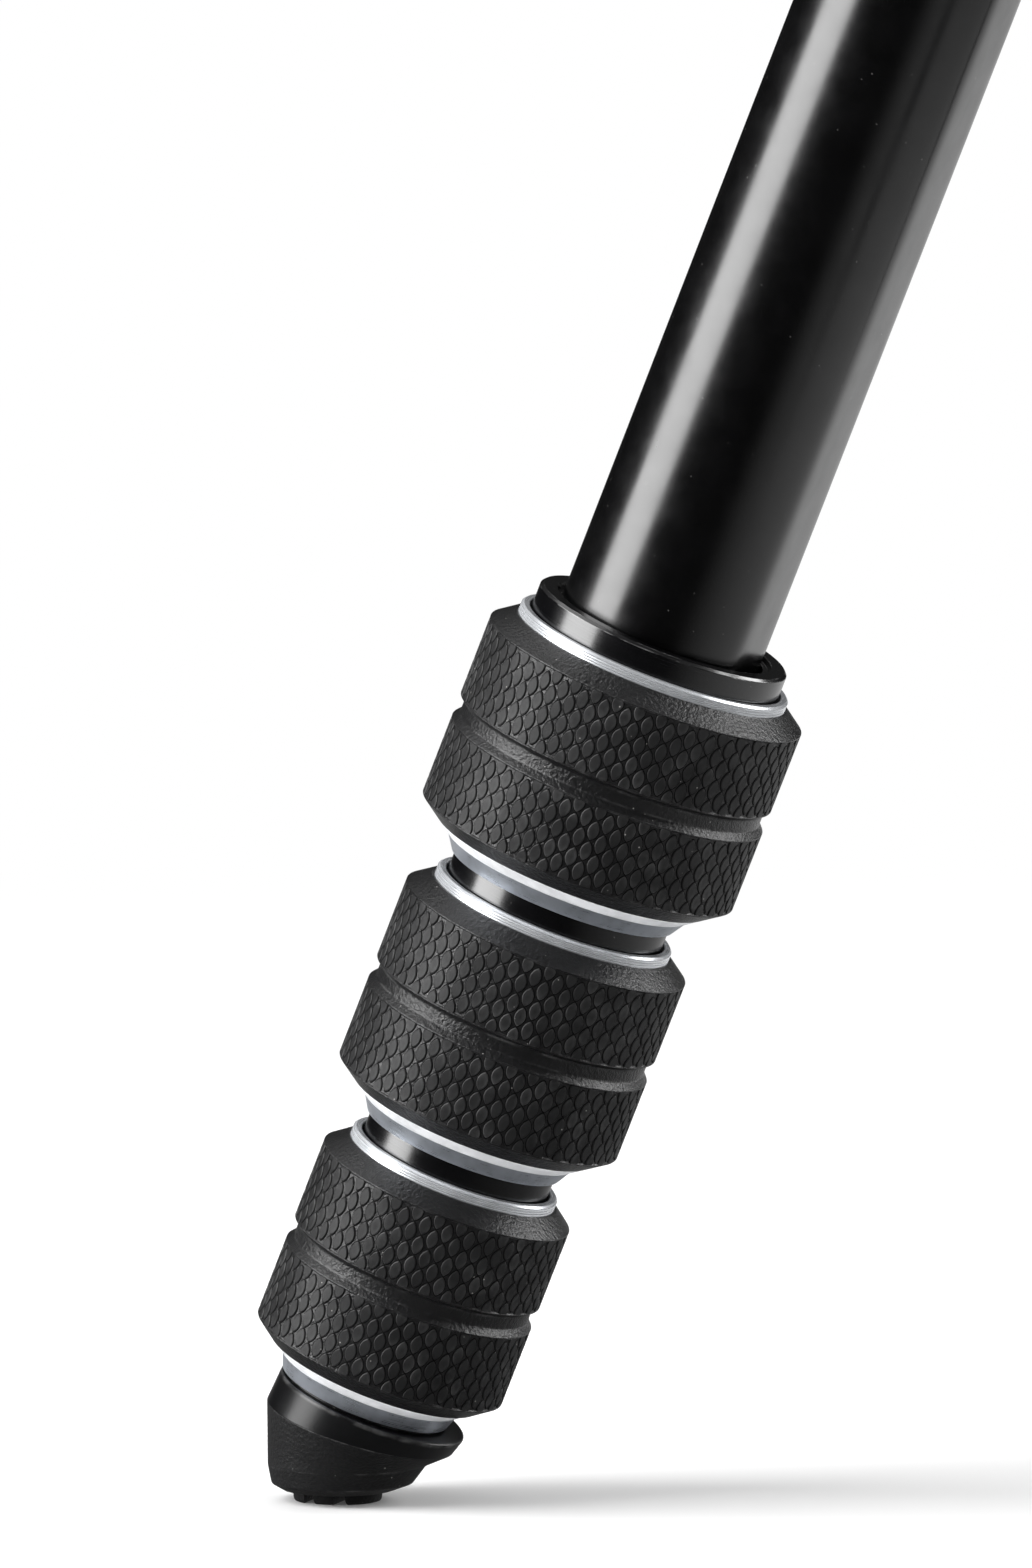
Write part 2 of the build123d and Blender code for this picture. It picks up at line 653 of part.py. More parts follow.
# The plastic bush that the column slides in. Its split upper end stands inside the lock.
bush_top = deck_z + BOSS_RISE + BUSH_LIP
with BuildPart() as column_bush:
    with BuildSketch(Plane.XY.offset(crown_bottom)):
        Circle(bush_outer)
        Circle(COLUMN_RADIUS + COLUMN_CLEARANCE, mode=Mode.SUBTRACT)
    extrude(amount=bush_top - crown_bottom)
    with BuildSketch(Plane.XY.offset(bush_top)):
        with PolarLocations(0, BUSH_SLITS):
            with Locations((bush_outer, 0)):
                Rectangle(2 * bush_outer, COLLET_SLIT)
    extrude(amount=-BUSH_SLIT_LENGTH, mode=Mode.SUBTRACT)
column_bush.part.label = "column_bush"
export_step(column_bush.part, "parts/column_bush.step")

# The ring that locks the column: a threaded metal core with a rubber grip round it
knob_bottom = column_knob_top - COLUMN_KNOB_LENGTH
column_lock_nut = turned(
    [
        (BOSS_RADIUS + THREAD_CLEARANCE, knob_bottom),
        (COLUMN_KNOB_CORE, knob_bottom),
        (COLUMN_KNOB_CORE, column_knob_top),
        (COLUMN_RADIUS + LOCK_FLOOR_CLEARANCE, column_knob_top),
        (COLUMN_RADIUS + LOCK_FLOOR_CLEARANCE, column_knob_top - COLUMN_KNOB_FLOOR),
        (BOSS_RADIUS + THREAD_CLEARANCE, column_knob_top - COLUMN_KNOB_FLOOR),
    ]
)
column_lock_nut.label = "column_lock_nut"
export_step(column_lock_nut, "parts/column_lock_nut.step")

grip_bottom = knob_bottom + COLUMN_GRIP_MARGIN
grip_top = column_knob_top - COLUMN_GRIP_MARGIN
column_lock_grip = turned(
    [
        (COLUMN_KNOB_CORE, grip_bottom),
        (COLUMN_KNOB_RADIUS - COLUMN_GRIP_CHAMFER, grip_bottom),
        (COLUMN_KNOB_RADIUS, grip_bottom + COLUMN_GRIP_CHAMFER),
        (COLUMN_KNOB_RADIUS, grip_top - COLUMN_GRIP_CHAMFER),
        (COLUMN_KNOB_RADIUS - COLUMN_GRIP_CHAMFER, grip_top),
        (COLUMN_KNOB_CORE, grip_top),
    ]
)
column_lock_grip.label = "column_lock_grip"
export_step(column_lock_grip, "parts/column_lock_grip.step")

# The column: a tube with a plate on top that the head stands on
column_bore = COLUMN_RADIUS - COLUMN_WALL
with BuildPart() as column:
    with BuildSketch(Plane.XY.offset(column_bottom)):
        Circle(COLUMN_RADIUS)
    extrude(amount=COLUMN_LENGTH)
    with BuildSketch(Plane.XY.offset(column_top)):
        Circle(COLUMN_HEAD_RADIUS)
    extrude(amount=-COLUMN_HEAD_THICKNESS)
    chamfer(column.edges().filter_by(GeomType.CIRCLE).group_by(SortBy.RADIUS)[-1], COLUMN_HEAD_CHAMFER)
    with BuildSketch(Plane.XY.offset(column_bottom)):
        Circle(column_bore)
    extrude(amount=COLUMN_LENGTH - COLUMN_HEAD_THICKNESS, mode=Mode.SUBTRACT)
    with BuildSketch(Plane.XY.offset(column_top)):
        Circle(STUD_RADIUS + STUD_CLEARANCE)
    extrude(amount=-COLUMN_HEAD_THICKNESS, mode=Mode.SUBTRACT)
column.part.label = "column_tube"
export_step(column.part, "parts/column_tube.step")

# The stud that fastens the head to the column, with its head inside the tube
stud_seat = column_top - COLUMN_HEAD_THICKNESS
with BuildPart() as head_stud:
    with BuildSketch(Plane.XY.offset(stud_seat)):
        Circle(STUD_HEAD_RADIUS)
    extrude(amount=-STUD_HEAD_THICKNESS)
    with BuildSketch(Plane.XY.offset(stud_seat)):
        Circle(STUD_RADIUS)
    extrude(amount=COLUMN_HEAD_THICKNESS + STUD_LENGTH)
    with BuildSketch(Plane.XY.offset(stud_seat - STUD_HEAD_THICKNESS)):
        RegularPolygon(STUD_DRIVE_RADIUS, 6)
    extrude(amount=STUD_DRIVE_DEPTH, mode=Mode.SUBTRACT)
head_stud.part.label = "head_stud"
export_step(head_stud.part, "parts/head_stud.step")

# The plug in the column's lower end, with the ear that the weight ring hangs in
hook_z = column_bottom - CAP_THICKNESS - HOOK_EAR_DROP + HOOK_EAR_HALF_WIDTH
with BuildPart() as end_plug:
    with BuildSketch(Plane.XY.offset(column_bottom)):
        Circle(column_bore)
    extrude(amount=COLUMN_PLUG_LENGTH)
    with BuildSketch(Plane.XY.offset(column_bottom - CAP_THICKNESS)):
        Circle(CAP_RADIUS)
    extrude(amount=CAP_THICKNESS)
    chamfer(end_plug.edges().sort_by(Axis.Z)[0], CAP_CHAMFER)
    with BuildSketch(Plane.XZ.offset(-HOOK_EAR_THICKNESS / 2)):
        with Locations((0, hook_z)):
            Circle(HOOK_EAR_HALF_WIDTH)
            Rectangle(2 * HOOK_EAR_HALF_WIDTH, HOOK_EAR_DROP, align=(Align.CENTER, Align.MIN))
            Circle(HOOK_WIRE_RADIUS + HOOK_CLEARANCE, mode=Mode.SUBTRACT)
    extrude(amount=HOOK_EAR_THICKNESS)
end_plug.part.label = "column_end_plug"
export_step(end_plug.part, "parts/column_end_plug.step")

# The weight ring: a wire loop whose straight top turns in the plug's ear
ring_half_width = HOOK_INNER_HALF_WIDTH + HOOK_WIRE_RADIUS
with BuildPart() as weight_ring:
    with BuildLine(Plane.YZ):
        FilletPolyline(
            (0, hook_z),
            (ring_half_width, hook_z),
            (ring_half_width, hook_z - HOOK_DROP),
            (0, hook_z - HOOK_DROP),
            radius=(HOOK_TOP_BEND, HOOK_BOTTOM_BEND),
        )
    with BuildSketch(Plane(origin=(0, 0, hook_z), z_dir=(0, 1, 0))):
        Circle(HOOK_WIRE_RADIUS)
    sweep()
    mirror(about=Plane.XZ)
weight_ring.part.label = "weight_ring"
export_step(weight_ring.part, "parts/weight_ring.step")

# The head's base, screwed on the column. The housing turns round its raised centre.
spigot_top = base_top + SPIGOT_HEIGHT
with BuildPart() as head_base:
    with BuildSketch(Plane.XY.offset(base_bottom)):
        Circle(BASE_RADIUS)
    extrude(amount=BASE_HEIGHT)
    chamfer(head_base.edges().filter_by(GeomType.CIRCLE), BASE_CHAMFER)
    with BuildSketch(Plane.XY.offset(base_top)):
        Circle(SPIGOT_RADIUS)
    extrude(amount=SPIGOT_HEIGHT)
    with BuildSketch(Plane.XY.offset(base_bottom)):
        Circle(STUD_RADIUS + STUD_CLEARANCE)
    extrude(amount=STUD_LENGTH + STUD_CLEARANCE, mode=Mode.SUBTRACT)
head_base.part.label = "head_base"
export_step(head_base.part, "parts/head_base.step")

# The housing that holds the ball. A slot on one side lets the stem drop through 90 degrees.
housing_bore = SPIGOT_RADIUS + TURN_GAP
cavity_radius = BALL_RADIUS + BALL_GAP
stem_slot = STEM_RADIUS + STEM_NOTCH_GAP
pan_knob_z = base_top + SPIGOT_HEIGHT / 2
knob_boss_reach = BASE_RADIUS + KNOB_BOSS_STEP
knob_plane = Plane(origin=(0, 0, ball_z - KNOB_BELOW_BALL), x_dir=(1, 0, 0), z_dir=(0, -1, 0))
pan_knob_plane = Plane(origin=(0, 0, pan_knob_z), x_dir=(1, 0, 0), z_dir=(0, 1, 0))
with BuildPart() as ball_housing:
    with BuildSketch(Plane.XZ):
        with BuildLine():
            Polyline(
                (0, housing_bottom),
                (BASE_RADIUS, housing_bottom),
                (BASE_RADIUS, housing_bottom + HOUSING_TAPER_START),
                (HOUSING_TOP_RADIUS, housing_top - HOUSING_RIM_BEVEL),
                (HOUSING_TOP_RADIUS - HOUSING_RIM_BEVEL, housing_top),
                (0, housing_top),
                close=True,
            )
        make_face()
    revolve(axis=Axis.Z)
    with BuildSketch(knob_plane):
        Circle(KNOB_BOSS_RADIUS)
    extrude(amount=knob_boss_reach)
    with BuildSketch(Plane.XY.offset(housing_bottom)):
        Circle(housing_bore)
    extrude(amount=ball_z - housing_bottom, mode=Mode.SUBTRACT)
    with Locations((0, 0, ball_z)):
        Sphere(cavity_radius, mode=Mode.SUBTRACT)
    with BuildSketch(Plane.YZ):
        with Locations((0, ball_z)):
            Circle(stem_slot)
            Rectangle(2 * stem_slot, 2 * RIM_ABOVE_BALL, align=(Align.CENTER, Align.MIN))
    extrude(amount=2 * BASE_RADIUS, mode=Mode.SUBTRACT)
    with BuildSketch(knob_plane):
        Circle(KNOB_SHAFT_RADIUS + SHAFT_CLEARANCE)
    extrude(amount=knob_boss_reach, mode=Mode.SUBTRACT)
    with BuildSketch(pan_knob_plane):
        Circle(PAN_SHAFT_RADIUS + SHAFT_CLEARANCE)
    extrude(amount=BASE_RADIUS, mode=Mode.SUBTRACT)
ball_housing.part.label = "ball_housing"
export_step(ball_housing.part, "parts/ball_housing.step")

# The plastic cup under the ball, which the ball's knob squeezes
cup_bottom = spigot_top + CUP_GAP
with BuildPart() as ball_cup:
    with BuildSketch(Plane.XY.offset(cup_bottom)):
        Circle(housing_bore - CUP_GAP)
        Circle(CUP_BORE_RADIUS, mode=Mode.SUBTRACT)
    extrude(amount=CUP_HEIGHT)
    with Locations((0, 0, ball_z)):
        Sphere(cavity_radius, mode=Mode.SUBTRACT)
ball_cup.part.label = "ball_cup"
export_step(ball_cup.part, "parts/ball_cup.step")

# The knob that locks the ball, and the smaller one that locks the turning base
knob_seat = knob_boss_reach + KNOB_GAP
ball_knob = knob(
    KNOB_RADIUS, KNOB_LENGTH, KNOB_SHAFT_RADIUS, knob_seat - housing_bore - SHAFT_TIP_GAP, KNOB_CHAMFER
).moved(knob_plane.offset(knob_seat).location)
ball_knob.label = "ball_lock_knob"
export_step(ball_knob, "parts/ball_lock_knob.step")

pan_knob_seat = BASE_RADIUS + KNOB_GAP
pan_shaft = pan_knob_seat - SPIGOT_RADIUS - SHAFT_TIP_GAP
pan_knob = knob(PAN_KNOB_RADIUS, PAN_KNOB_LENGTH, PAN_SHAFT_RADIUS, pan_shaft, PAN_KNOB_CHAMFER).moved(
    pan_knob_plane.offset(pan_knob_seat).location
)
pan_knob.label = "pan_lock_knob"
export_step(pan_knob, "parts/pan_lock_knob.step")

# The ball with its stem, and the pivot that the clamp is fastened on
with BuildPart() as ball_stem:
    with Locations((0, 0, ball_z)):
        Sphere(BALL_RADIUS)
    with BuildSketch(Plane.XY.offset(ball_z)):
        Circle(STEM_RADIUS)
    extrude(amount=STEM_LENGTH)
    with BuildSketch(Plane.XY.offset(stem_top)):
        Circle(STEM_FLANGE_RADIUS)
    extrude(amount=-STEM_FLANGE_THICKNESS)
    flange_root = ball_stem.edges().filter_by(GeomType.CIRCLE).sort_by(
        lambda e: abs(e.center().Z - stem_top + STEM_FLANGE_THICKNESS) + abs(e.radius - STEM_RADIUS)
    )
    fillet(flange_root[0], STEM_FILLET)
    with BuildSketch(Plane.XY.offset(stem_top)):
        Circle(PIVOT_RADIUS)
    extrude(amount=PIVOT_HEIGHT)
ball_stem.part.label = "ball_stem"
export_step(ball_stem.part, "parts/ball_stem.step")

# The section of the clamp's jaws: a floor under the plate, and a lip that leans over its dovetail
dovetail_knee = plate_bottom + DOVETAIL_FOOT
dovetail_top = dovetail_knee + DOVETAIL_INSET
jaw_top = plate_bottom + JAW_RISE
jaw_foot = PLATE_HALF_WIDTH + DOVETAIL_GAP
jaw_lip = jaw_foot - DOVETAIL_INSET
jaw_outside = jaw_foot + JAW_WALL
clamp_shaft_z = (clamp_top + clamp_bottom) / 2
jaw_split_plane = Plane(
    origin=(0, -JAW_SPLIT_OFFSET, clamp_shaft_z),
    x_dir=(1, 0, 0),
    z_dir=(0, 1, 0),
)


def jaw_section(inner_side):
    """The outline of one jaw from the given distance outwards, as (distance from the axis, height)."""
    return [
        (inner_side, clamp_bottom),
        (jaw_outside, clamp_bottom),
        (jaw_outside, jaw_top),
        (jaw_lip, jaw_top),
        (jaw_lip, dovetail_top),
        (jaw_foot, dovetail_knee),
        (jaw_foot, clamp_top),
        (inner_side, clamp_top),
    ]


# The clamp's base, with the fixed jaw
with BuildPart() as clamp_base:
    with BuildSketch(Plane.YZ.offset(-CLAMP_LENGTH / 2)):
        with BuildLine():
            Polyline(*jaw_section(-JAW_SPLIT_OFFSET), close=True)
        make_face()
    extrude(amount=CLAMP_LENGTH)
    fillet(clamp_base.edges().filter_by(Axis.Z).group_by(Axis.Y)[-1], CLAMP_CORNER)
    with BuildSketch(Plane.XY.offset(clamp_bottom)):
        Circle(PIVOT_RADIUS + PIVOT_CLEARANCE)
    extrude(amount=PIVOT_HEIGHT + PIVOT_CLEARANCE, mode=Mode.SUBTRACT)
    with BuildSketch(jaw_split_plane):
        Circle(CLAMP_SHAFT_RADIUS + SHAFT_CLEARANCE)
    extrude(amount=JAW_SPLIT_OFFSET - CLAMP_SHAFT_REACH, mode=Mode.SUBTRACT)
    with BuildSketch(jaw_split_plane):
        with GridLocations(JAW_PIN_SPACING, 0, 2, 1):
            Circle(JAW_PIN_RADIUS + JAW_PIN_CLEARANCE)
    extrude(amount=JAW_PIN_LENGTH + JAW_PIN_CLEARANCE, mode=Mode.SUBTRACT)
clamp_base.part.label = "clamp_base"
export_step(clamp_base.part, "parts/clamp_base.step")

# The moving jaw, with the two pins that guide it
jaw_inside = JAW_SPLIT_OFFSET + JAW_SPLIT_GAP
with BuildPart() as clamp_jaw:
    with BuildSketch(Plane.YZ.offset(-CLAMP_LENGTH / 2)):
        with BuildLine():
            Polyline(*[(-y, z) for y, z in jaw_section(jaw_inside)], close=True)
        make_face()
    extrude(amount=CLAMP_LENGTH)
    fillet(clamp_jaw.edges().filter_by(Axis.Z).group_by(Axis.Y)[0], CLAMP_CORNER)
    with BuildSketch(jaw_split_plane.offset(-JAW_SPLIT_GAP)):
        Circle(CLAMP_SHAFT_RADIUS + SHAFT_CLEARANCE)
    extrude(amount=-jaw_outside, mode=Mode.SUBTRACT)
    with BuildSketch(jaw_split_plane.offset(-JAW_SPLIT_GAP)):
        with GridLocations(JAW_PIN_SPACING, 0, 2, 1):
            Circle(JAW_PIN_RADIUS)
    extrude(amount=JAW_PIN_LENGTH)
clamp_jaw.part.label = "clamp_jaw"
export_step(clamp_jaw.part, "parts/clamp_jaw.step")

# The knob that draws the jaw in
clamp_knob_seat = jaw_outside + KNOB_GAP
clamp_knob_plane = jaw_split_plane.offset(JAW_SPLIT_OFFSET - clamp_knob_seat).rotated((180, 0, 0))
clamp_shaft = clamp_knob_seat - CLAMP_SHAFT_REACH - SHAFT_TIP_GAP
clamp_knob = knob(
    CLAMP_KNOB_RADIUS, CLAMP_KNOB_LENGTH, CLAMP_SHAFT_RADIUS, clamp_shaft, PAN_KNOB_CHAMFER
).moved(clamp_knob_plane.location)
clamp_knob.label = "clamp_knob"
export_step(clamp_knob, "parts/clamp_knob.step")

# The quick-release plate, with a dovetail along each side and a bore for the camera screw
slab_bottom = jaw_top + JAW_LIP_GAP
plate_neck = PLATE_HALF_WIDTH - DOVETAIL_INSET
with BuildPart() as quick_plate:
    with BuildSketch(Plane.YZ.offset(-PLATE_LENGTH / 2)):
        with BuildLine():
            Polyline(
                (0, plate_bottom),
                (PLATE_HALF_WIDTH, plate_bottom),
                (PLATE_HALF_WIDTH, dovetail_knee),
                (plate_neck, dovetail_top),
                (plate_neck, slab_bottom),
                (PLATE_HALF_WIDTH, slab_bottom),
                (PLATE_HALF_WIDTH, plate_top),
                (0, plate_top),
                close=True,
            )
        make_face()
        mirror(about=Plane.YZ)
    extrude(amount=PLATE_LENGTH)
    fillet(quick_plate.edges().filter_by(Axis.Z).group_by(Axis.Z)[-1], PLATE_CORNER)
    with BuildSketch(Plane.XY.offset(plate_bottom)):
        Circle(SCREW_HEAD_RADIUS + 2 * SCREW_CLEARANCE)
    extrude(amount=SCREW_HEAD_RECESS + SCREW_HEAD_THICKNESS + SCREW_CLEARANCE, mode=Mode.SUBTRACT)
    with BuildSketch(Plane.XY.offset(plate_top)):
        Circle(SCREW_RADIUS + SCREW_CLEARANCE)
    extrude(amount=-PLATE_HEIGHT, mode=Mode.SUBTRACT)
quick_plate.part.label = "quick_plate"
export_step(quick_plate.part, "parts/quick_plate.step")

# The rubber pad on the plate, which the camera sits on
with BuildPart() as plate_pad:
    with BuildSketch(Plane.XY.offset(plate_top)):
        RectangleRounded(PLATE_LENGTH - 2 * PAD_MARGIN, 2 * (PLATE_HALF_WIDTH - PAD_MARGIN), PAD_CORNER)
        Circle(SCREW_RADIUS + 2 * SCREW_CLEARANCE, mode=Mode.SUBTRACT)
    extrude(amount=PAD_THICKNESS)
plate_pad.part.label = "plate_pad"
export_step(plate_pad.part, "parts/plate_pad.step")

# The camera screw, which a coin turns from below
screw_head_bottom = plate_bottom + SCREW_HEAD_RECESS
with BuildPart() as camera_screw:
    with BuildSketch(Plane.XY.offset(screw_head_bottom)):
        Circle(SCREW_HEAD_RADIUS)
    extrude(amount=SCREW_HEAD_THICKNESS)
    with BuildSketch(Plane.XY.offset(screw_head_bottom)):
        Circle(SCREW_NECK_RADIUS)
    extrude(amount=-screw_head_bottom)
    with BuildSketch():
        Circle(SCREW_RADIUS)
    extrude(amount=SCREW_LENGTH)
    chamfer(camera_screw.edges().sort_by(Axis.Z)[-1], SCREW_TIP_CHAMFER)
    with BuildSketch(Plane.XY.offset(screw_head_bottom)):
        Rectangle(2 * SCREW_HEAD_RADIUS, SCREW_SLOT_WIDTH)
    extrude(amount=SCREW_SLOT_DEPTH, mode=Mode.SUBTRACT)
camera_screw.part.label = "camera_screw"
export_step(camera_screw.part, "parts/camera_screw.step")
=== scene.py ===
# %% [markdown]
# # A travel camera tripod
# The tripod stands on its three collapsed legs. The CAD model fixes where every piece is and how it
# moves. This file gives the pieces their surfaces and finishes: anodised tubes, turned aluminium,
# moulded rubber with its scaled pattern, painted castings. Everything is in metres in the CAD's frame.

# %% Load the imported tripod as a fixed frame
import json
from math import cos, pi, radians, sin

import bmesh
import bpy
import numpy as np
from mathutils import Matrix, Vector

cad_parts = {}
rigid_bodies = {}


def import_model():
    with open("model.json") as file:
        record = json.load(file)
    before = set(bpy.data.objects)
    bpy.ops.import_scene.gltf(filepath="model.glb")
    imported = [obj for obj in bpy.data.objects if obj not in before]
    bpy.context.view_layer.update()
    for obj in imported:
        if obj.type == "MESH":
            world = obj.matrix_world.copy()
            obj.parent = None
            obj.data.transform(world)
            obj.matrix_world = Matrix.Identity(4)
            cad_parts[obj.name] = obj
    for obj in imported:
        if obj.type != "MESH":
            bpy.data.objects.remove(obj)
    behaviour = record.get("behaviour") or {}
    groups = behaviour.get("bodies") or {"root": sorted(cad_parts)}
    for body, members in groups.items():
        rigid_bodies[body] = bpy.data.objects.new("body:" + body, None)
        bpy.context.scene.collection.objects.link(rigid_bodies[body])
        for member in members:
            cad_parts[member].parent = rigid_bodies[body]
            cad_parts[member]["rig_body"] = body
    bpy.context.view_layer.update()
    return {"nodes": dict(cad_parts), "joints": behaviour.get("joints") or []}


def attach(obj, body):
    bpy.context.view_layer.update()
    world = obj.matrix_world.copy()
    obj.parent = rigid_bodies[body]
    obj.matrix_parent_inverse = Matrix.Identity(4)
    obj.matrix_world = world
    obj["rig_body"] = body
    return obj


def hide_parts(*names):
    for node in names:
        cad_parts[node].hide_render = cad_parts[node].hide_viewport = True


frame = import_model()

joints = {joint["name"]: joint for joint in frame["joints"]}
LEGS = (1, 2, 3)

# %% [markdown]
# ## The camera
# The photograph looks at the lower end of one leg with a long lens, from a little above the floor.
# A camera was fitted to 25 edges of the locks and the foot, and those numbers stand here.

# %% Camera at the photograph's viewing angle
CAMERA_AZIMUTH = radians(18.816)
CAMERA_ELEVATION = radians(5.139)
CAMERA_PLACE = (0.29462, -1.30721, -0.25239)
CAMERA_LENS = 301.6  # millimetres, for a long side of 36

camera_back = Vector((
    sin(CAMERA_AZIMUTH) * cos(CAMERA_ELEVATION),
    -cos(CAMERA_AZIMUTH) * cos(CAMERA_ELEVATION),
    sin(CAMERA_ELEVATION),
))
camera_data = bpy.data.cameras.new("photo camera")
camera_data.lens = CAMERA_LENS
camera_data.sensor_width = 36.0
camera_data.clip_start = 0.1
camera_data.clip_end = 100.0
camera = bpy.data.objects.new("photo camera", camera_data)
camera.location = CAMERA_PLACE
camera.rotation_mode = "QUATERNION"
camera.rotation_quaternion = (-camera_back).to_track_quat("-Z", "Y")
bpy.context.scene.collection.objects.link(camera)
bpy.context.scene.camera = camera
bpy.context.scene.view_settings.view_transform = "Standard"
print("camera", round(camera.location.length, 3), "m from the camera screw")

# %% [markdown]
# ## Shared effects
# Real finishes share a few effects: moulded or blasted grain, the fine rings that a lathe leaves, edges
# that are rubbed brighter, and dust. Each is built once as a node group with named inputs and placed in
# the finishes with its own values. A group only puts out masks and heights, so the export can bake it.

# %% A small helper that makes node groups
def new_group(name, inputs, outputs):
    """An empty shader group with float inputs (name: value) and float outputs, and its two ends."""
    group = bpy.data.node_groups.new(name, "ShaderNodeTree")
    for socket, value in inputs.items():
        made = group.interface.new_socket(socket, in_out="INPUT", socket_type="NodeSocketFloat")
        made.default_value = value
    for socket in outputs:
        group.interface.new_socket(socket, in_out="OUTPUT", socket_type="NodeSocketFloat")
    return group, group.nodes.new("NodeGroupInput"), group.nodes.new("NodeGroupOutput")


def maths(tree, operation, first, second=None, third=None):
    """One Math node. Each operand is a number or a socket; the result is its output socket."""
    node = tree.nodes.new("ShaderNodeMath")
    node.operation = operation
    for socket, operand in zip(node.inputs, (first, second, third)):
        if isinstance(operand, bpy.types.NodeSocket):
            tree.links.new(operand, socket)
        elif operand is not None:
            socket.default_value = operand
    return node.outputs[0]


def noise(tree, vector, scale, detail, dimensions="3D"):
    """A Noise node's value socket. In one dimension the vector is a single number's socket."""
    node = tree.nodes.new("ShaderNodeTexNoise")
    node.noise_dimensions = dimensions
    node.inputs["Detail"].default_value = detail
    node.inputs["Roughness"].default_value = 0.6
    if isinstance(scale, bpy.types.NodeSocket):
        tree.links.new(scale, node.inputs["Scale"])
    else:
        node.inputs["Scale"].default_value = scale
    tree.links.new(vector, node.inputs["W" if dimensions == "1D" else "Vector"])
    return node.outputs["Fac"]


def ramp(tree, value, low, high):
    """The value stretched so that low becomes 0 and high becomes 1, with soft ends."""
    node = tree.nodes.new("ShaderNodeMapRange")
    node.interpolation_type = "SMOOTHSTEP"
    tree.links.new(value, node.inputs["Value"])
    node.inputs["From Min"].default_value = low
    node.inputs["From Max"].default_value = high
    return node.outputs["Result"]


# %% Grain: the fine skin of moulded rubber, blasted metal and paint
grain, ends_in, ends_out = new_group("grain", {"Scale": 4000.0}, ["Height", "Cloud"])
place = grain.nodes.new("ShaderNodeTexCoord").outputs["Object"]
grain.links.new(noise(grain, place, ends_in.outputs["Scale"], 3.0), ends_out.inputs["Height"])
slow_scale = maths(grain, "MULTIPLY", ends_in.outputs["Scale"], 0.03)
grain.links.new(noise(grain, place, slow_scale, 3.0), ends_out.inputs["Cloud"])

# %% Lathe rings: fine lines round a turned piece, which follow its own UV map
lathe_rings, ends_in, ends_out = new_group("lathe rings", {"Lines per metre": 6000.0}, ["Height"])
own_map = lathe_rings.nodes.new("ShaderNodeUVMap")
own_map.uv_map = "UVMap"
split = lathe_rings.nodes.new("ShaderNodeSeparateXYZ")
lathe_rings.links.new(own_map.outputs["UV"], split.inputs["Vector"])
fine = noise(lathe_rings, split.outputs["Y"], ends_in.outputs["Lines per metre"], 2.0, "1D")
lathe_rings.links.new(fine, ends_out.inputs["Height"])

# %% Rubbed edges, and painted shade in creases, from the pieces' own edge attribute
# The attribute is 1 on a proud edge, where hands and bags wear a corner brighter, and -1 down in a crease,
# where the colour is darkened as painted shade.
rubbed_edges_and_painted_shade, ends_in, ends_out = new_group("rubbed edges and painted crease shade", {"Amount": 0.5}, ["Mask", "Painted crease shade"])
edge_value = rubbed_edges_and_painted_shade.nodes.new("ShaderNodeAttribute")
edge_value.attribute_name = "edge"
place = rubbed_edges_and_painted_shade.nodes.new("ShaderNodeTexCoord").outputs["Object"]
patches = ramp(rubbed_edges_and_painted_shade, noise(rubbed_edges_and_painted_shade, place, 350.0, 5.0), 0.42, 0.68)
worn = maths(rubbed_edges_and_painted_shade, "MULTIPLY", edge_value.outputs["Fac"], patches)
worn = maths(rubbed_edges_and_painted_shade, "MULTIPLY", worn, ends_in.outputs["Amount"])
rubbed_edges_and_painted_shade.links.new(maths(rubbed_edges_and_painted_shade, "MAXIMUM", worn, 0.0), ends_out.inputs["Mask"])
# painted shade: this mask darkens the colour down in the creases
painted_crease_shade = maths(rubbed_edges_and_painted_shade, "MAXIMUM", maths(rubbed_edges_and_painted_shade, "MULTIPLY", edge_value.outputs["Fac"], -1.0), 0.0)
rubbed_edges_and_painted_shade.links.new(painted_crease_shade, ends_out.inputs["Painted crease shade"])

# %% Dust: sparse pale specks, each at the middle of a random cell
dust, ends_in, ends_out = new_group("dust", {"Scale": 700.0, "Amount": 0.5}, ["Mask"])
place = dust.nodes.new("ShaderNodeTexCoord").outputs["Object"]
cells = dust.nodes.new("ShaderNodeTexVoronoi")
dust.links.new(place, cells.inputs["Vector"])
dust.links.new(ends_in.outputs["Scale"], cells.inputs["Scale"])
speck = maths(dust, "SUBTRACT", 1.0, ramp(dust, cells.outputs["Distance"], 0.02, 0.10))
lot = dust.nodes.new("ShaderNodeSeparateColor")
dust.links.new(cells.outputs["Color"], lot.inputs["Color"])
chosen = maths(dust, "GREATER_THAN", lot.outputs["Red"], 0.72)
mask = maths(dust, "MULTIPLY", maths(dust, "MULTIPLY", speck, chosen), ends_in.outputs["Amount"])
dust.links.new(mask, ends_out.inputs["Mask"])
print("shared effects:", [g.name for g in bpy.data.node_groups])

# %% [markdown]
# ## Finishes
# Nearly everything here is black, so the finishes differ in gloss and grain rather than in colour: the
# tubes are satin, the collars glossy with lathe rings, the rubber dull and grainy. The bright parts are
# turned aluminium. One function wires the shared effects into a finish; each finish has its own values.

# %% The function that makes a finish
SPECK_COLOUR = (0.45, 0.44, 0.42)
# near black, painted into creases as painted shade
PAINTED_CREASE_SHADE_COLOUR = (0.001, 0.001, 0.001)
CLOUD_ROUGHNESS = 0.16  # spread of the roughness over the clouds of the skin
RING_ROUGHNESS = 0.2  # and over the lathe rings
SPECK_ROUGHNESS = 0.4  # what a speck adds to it


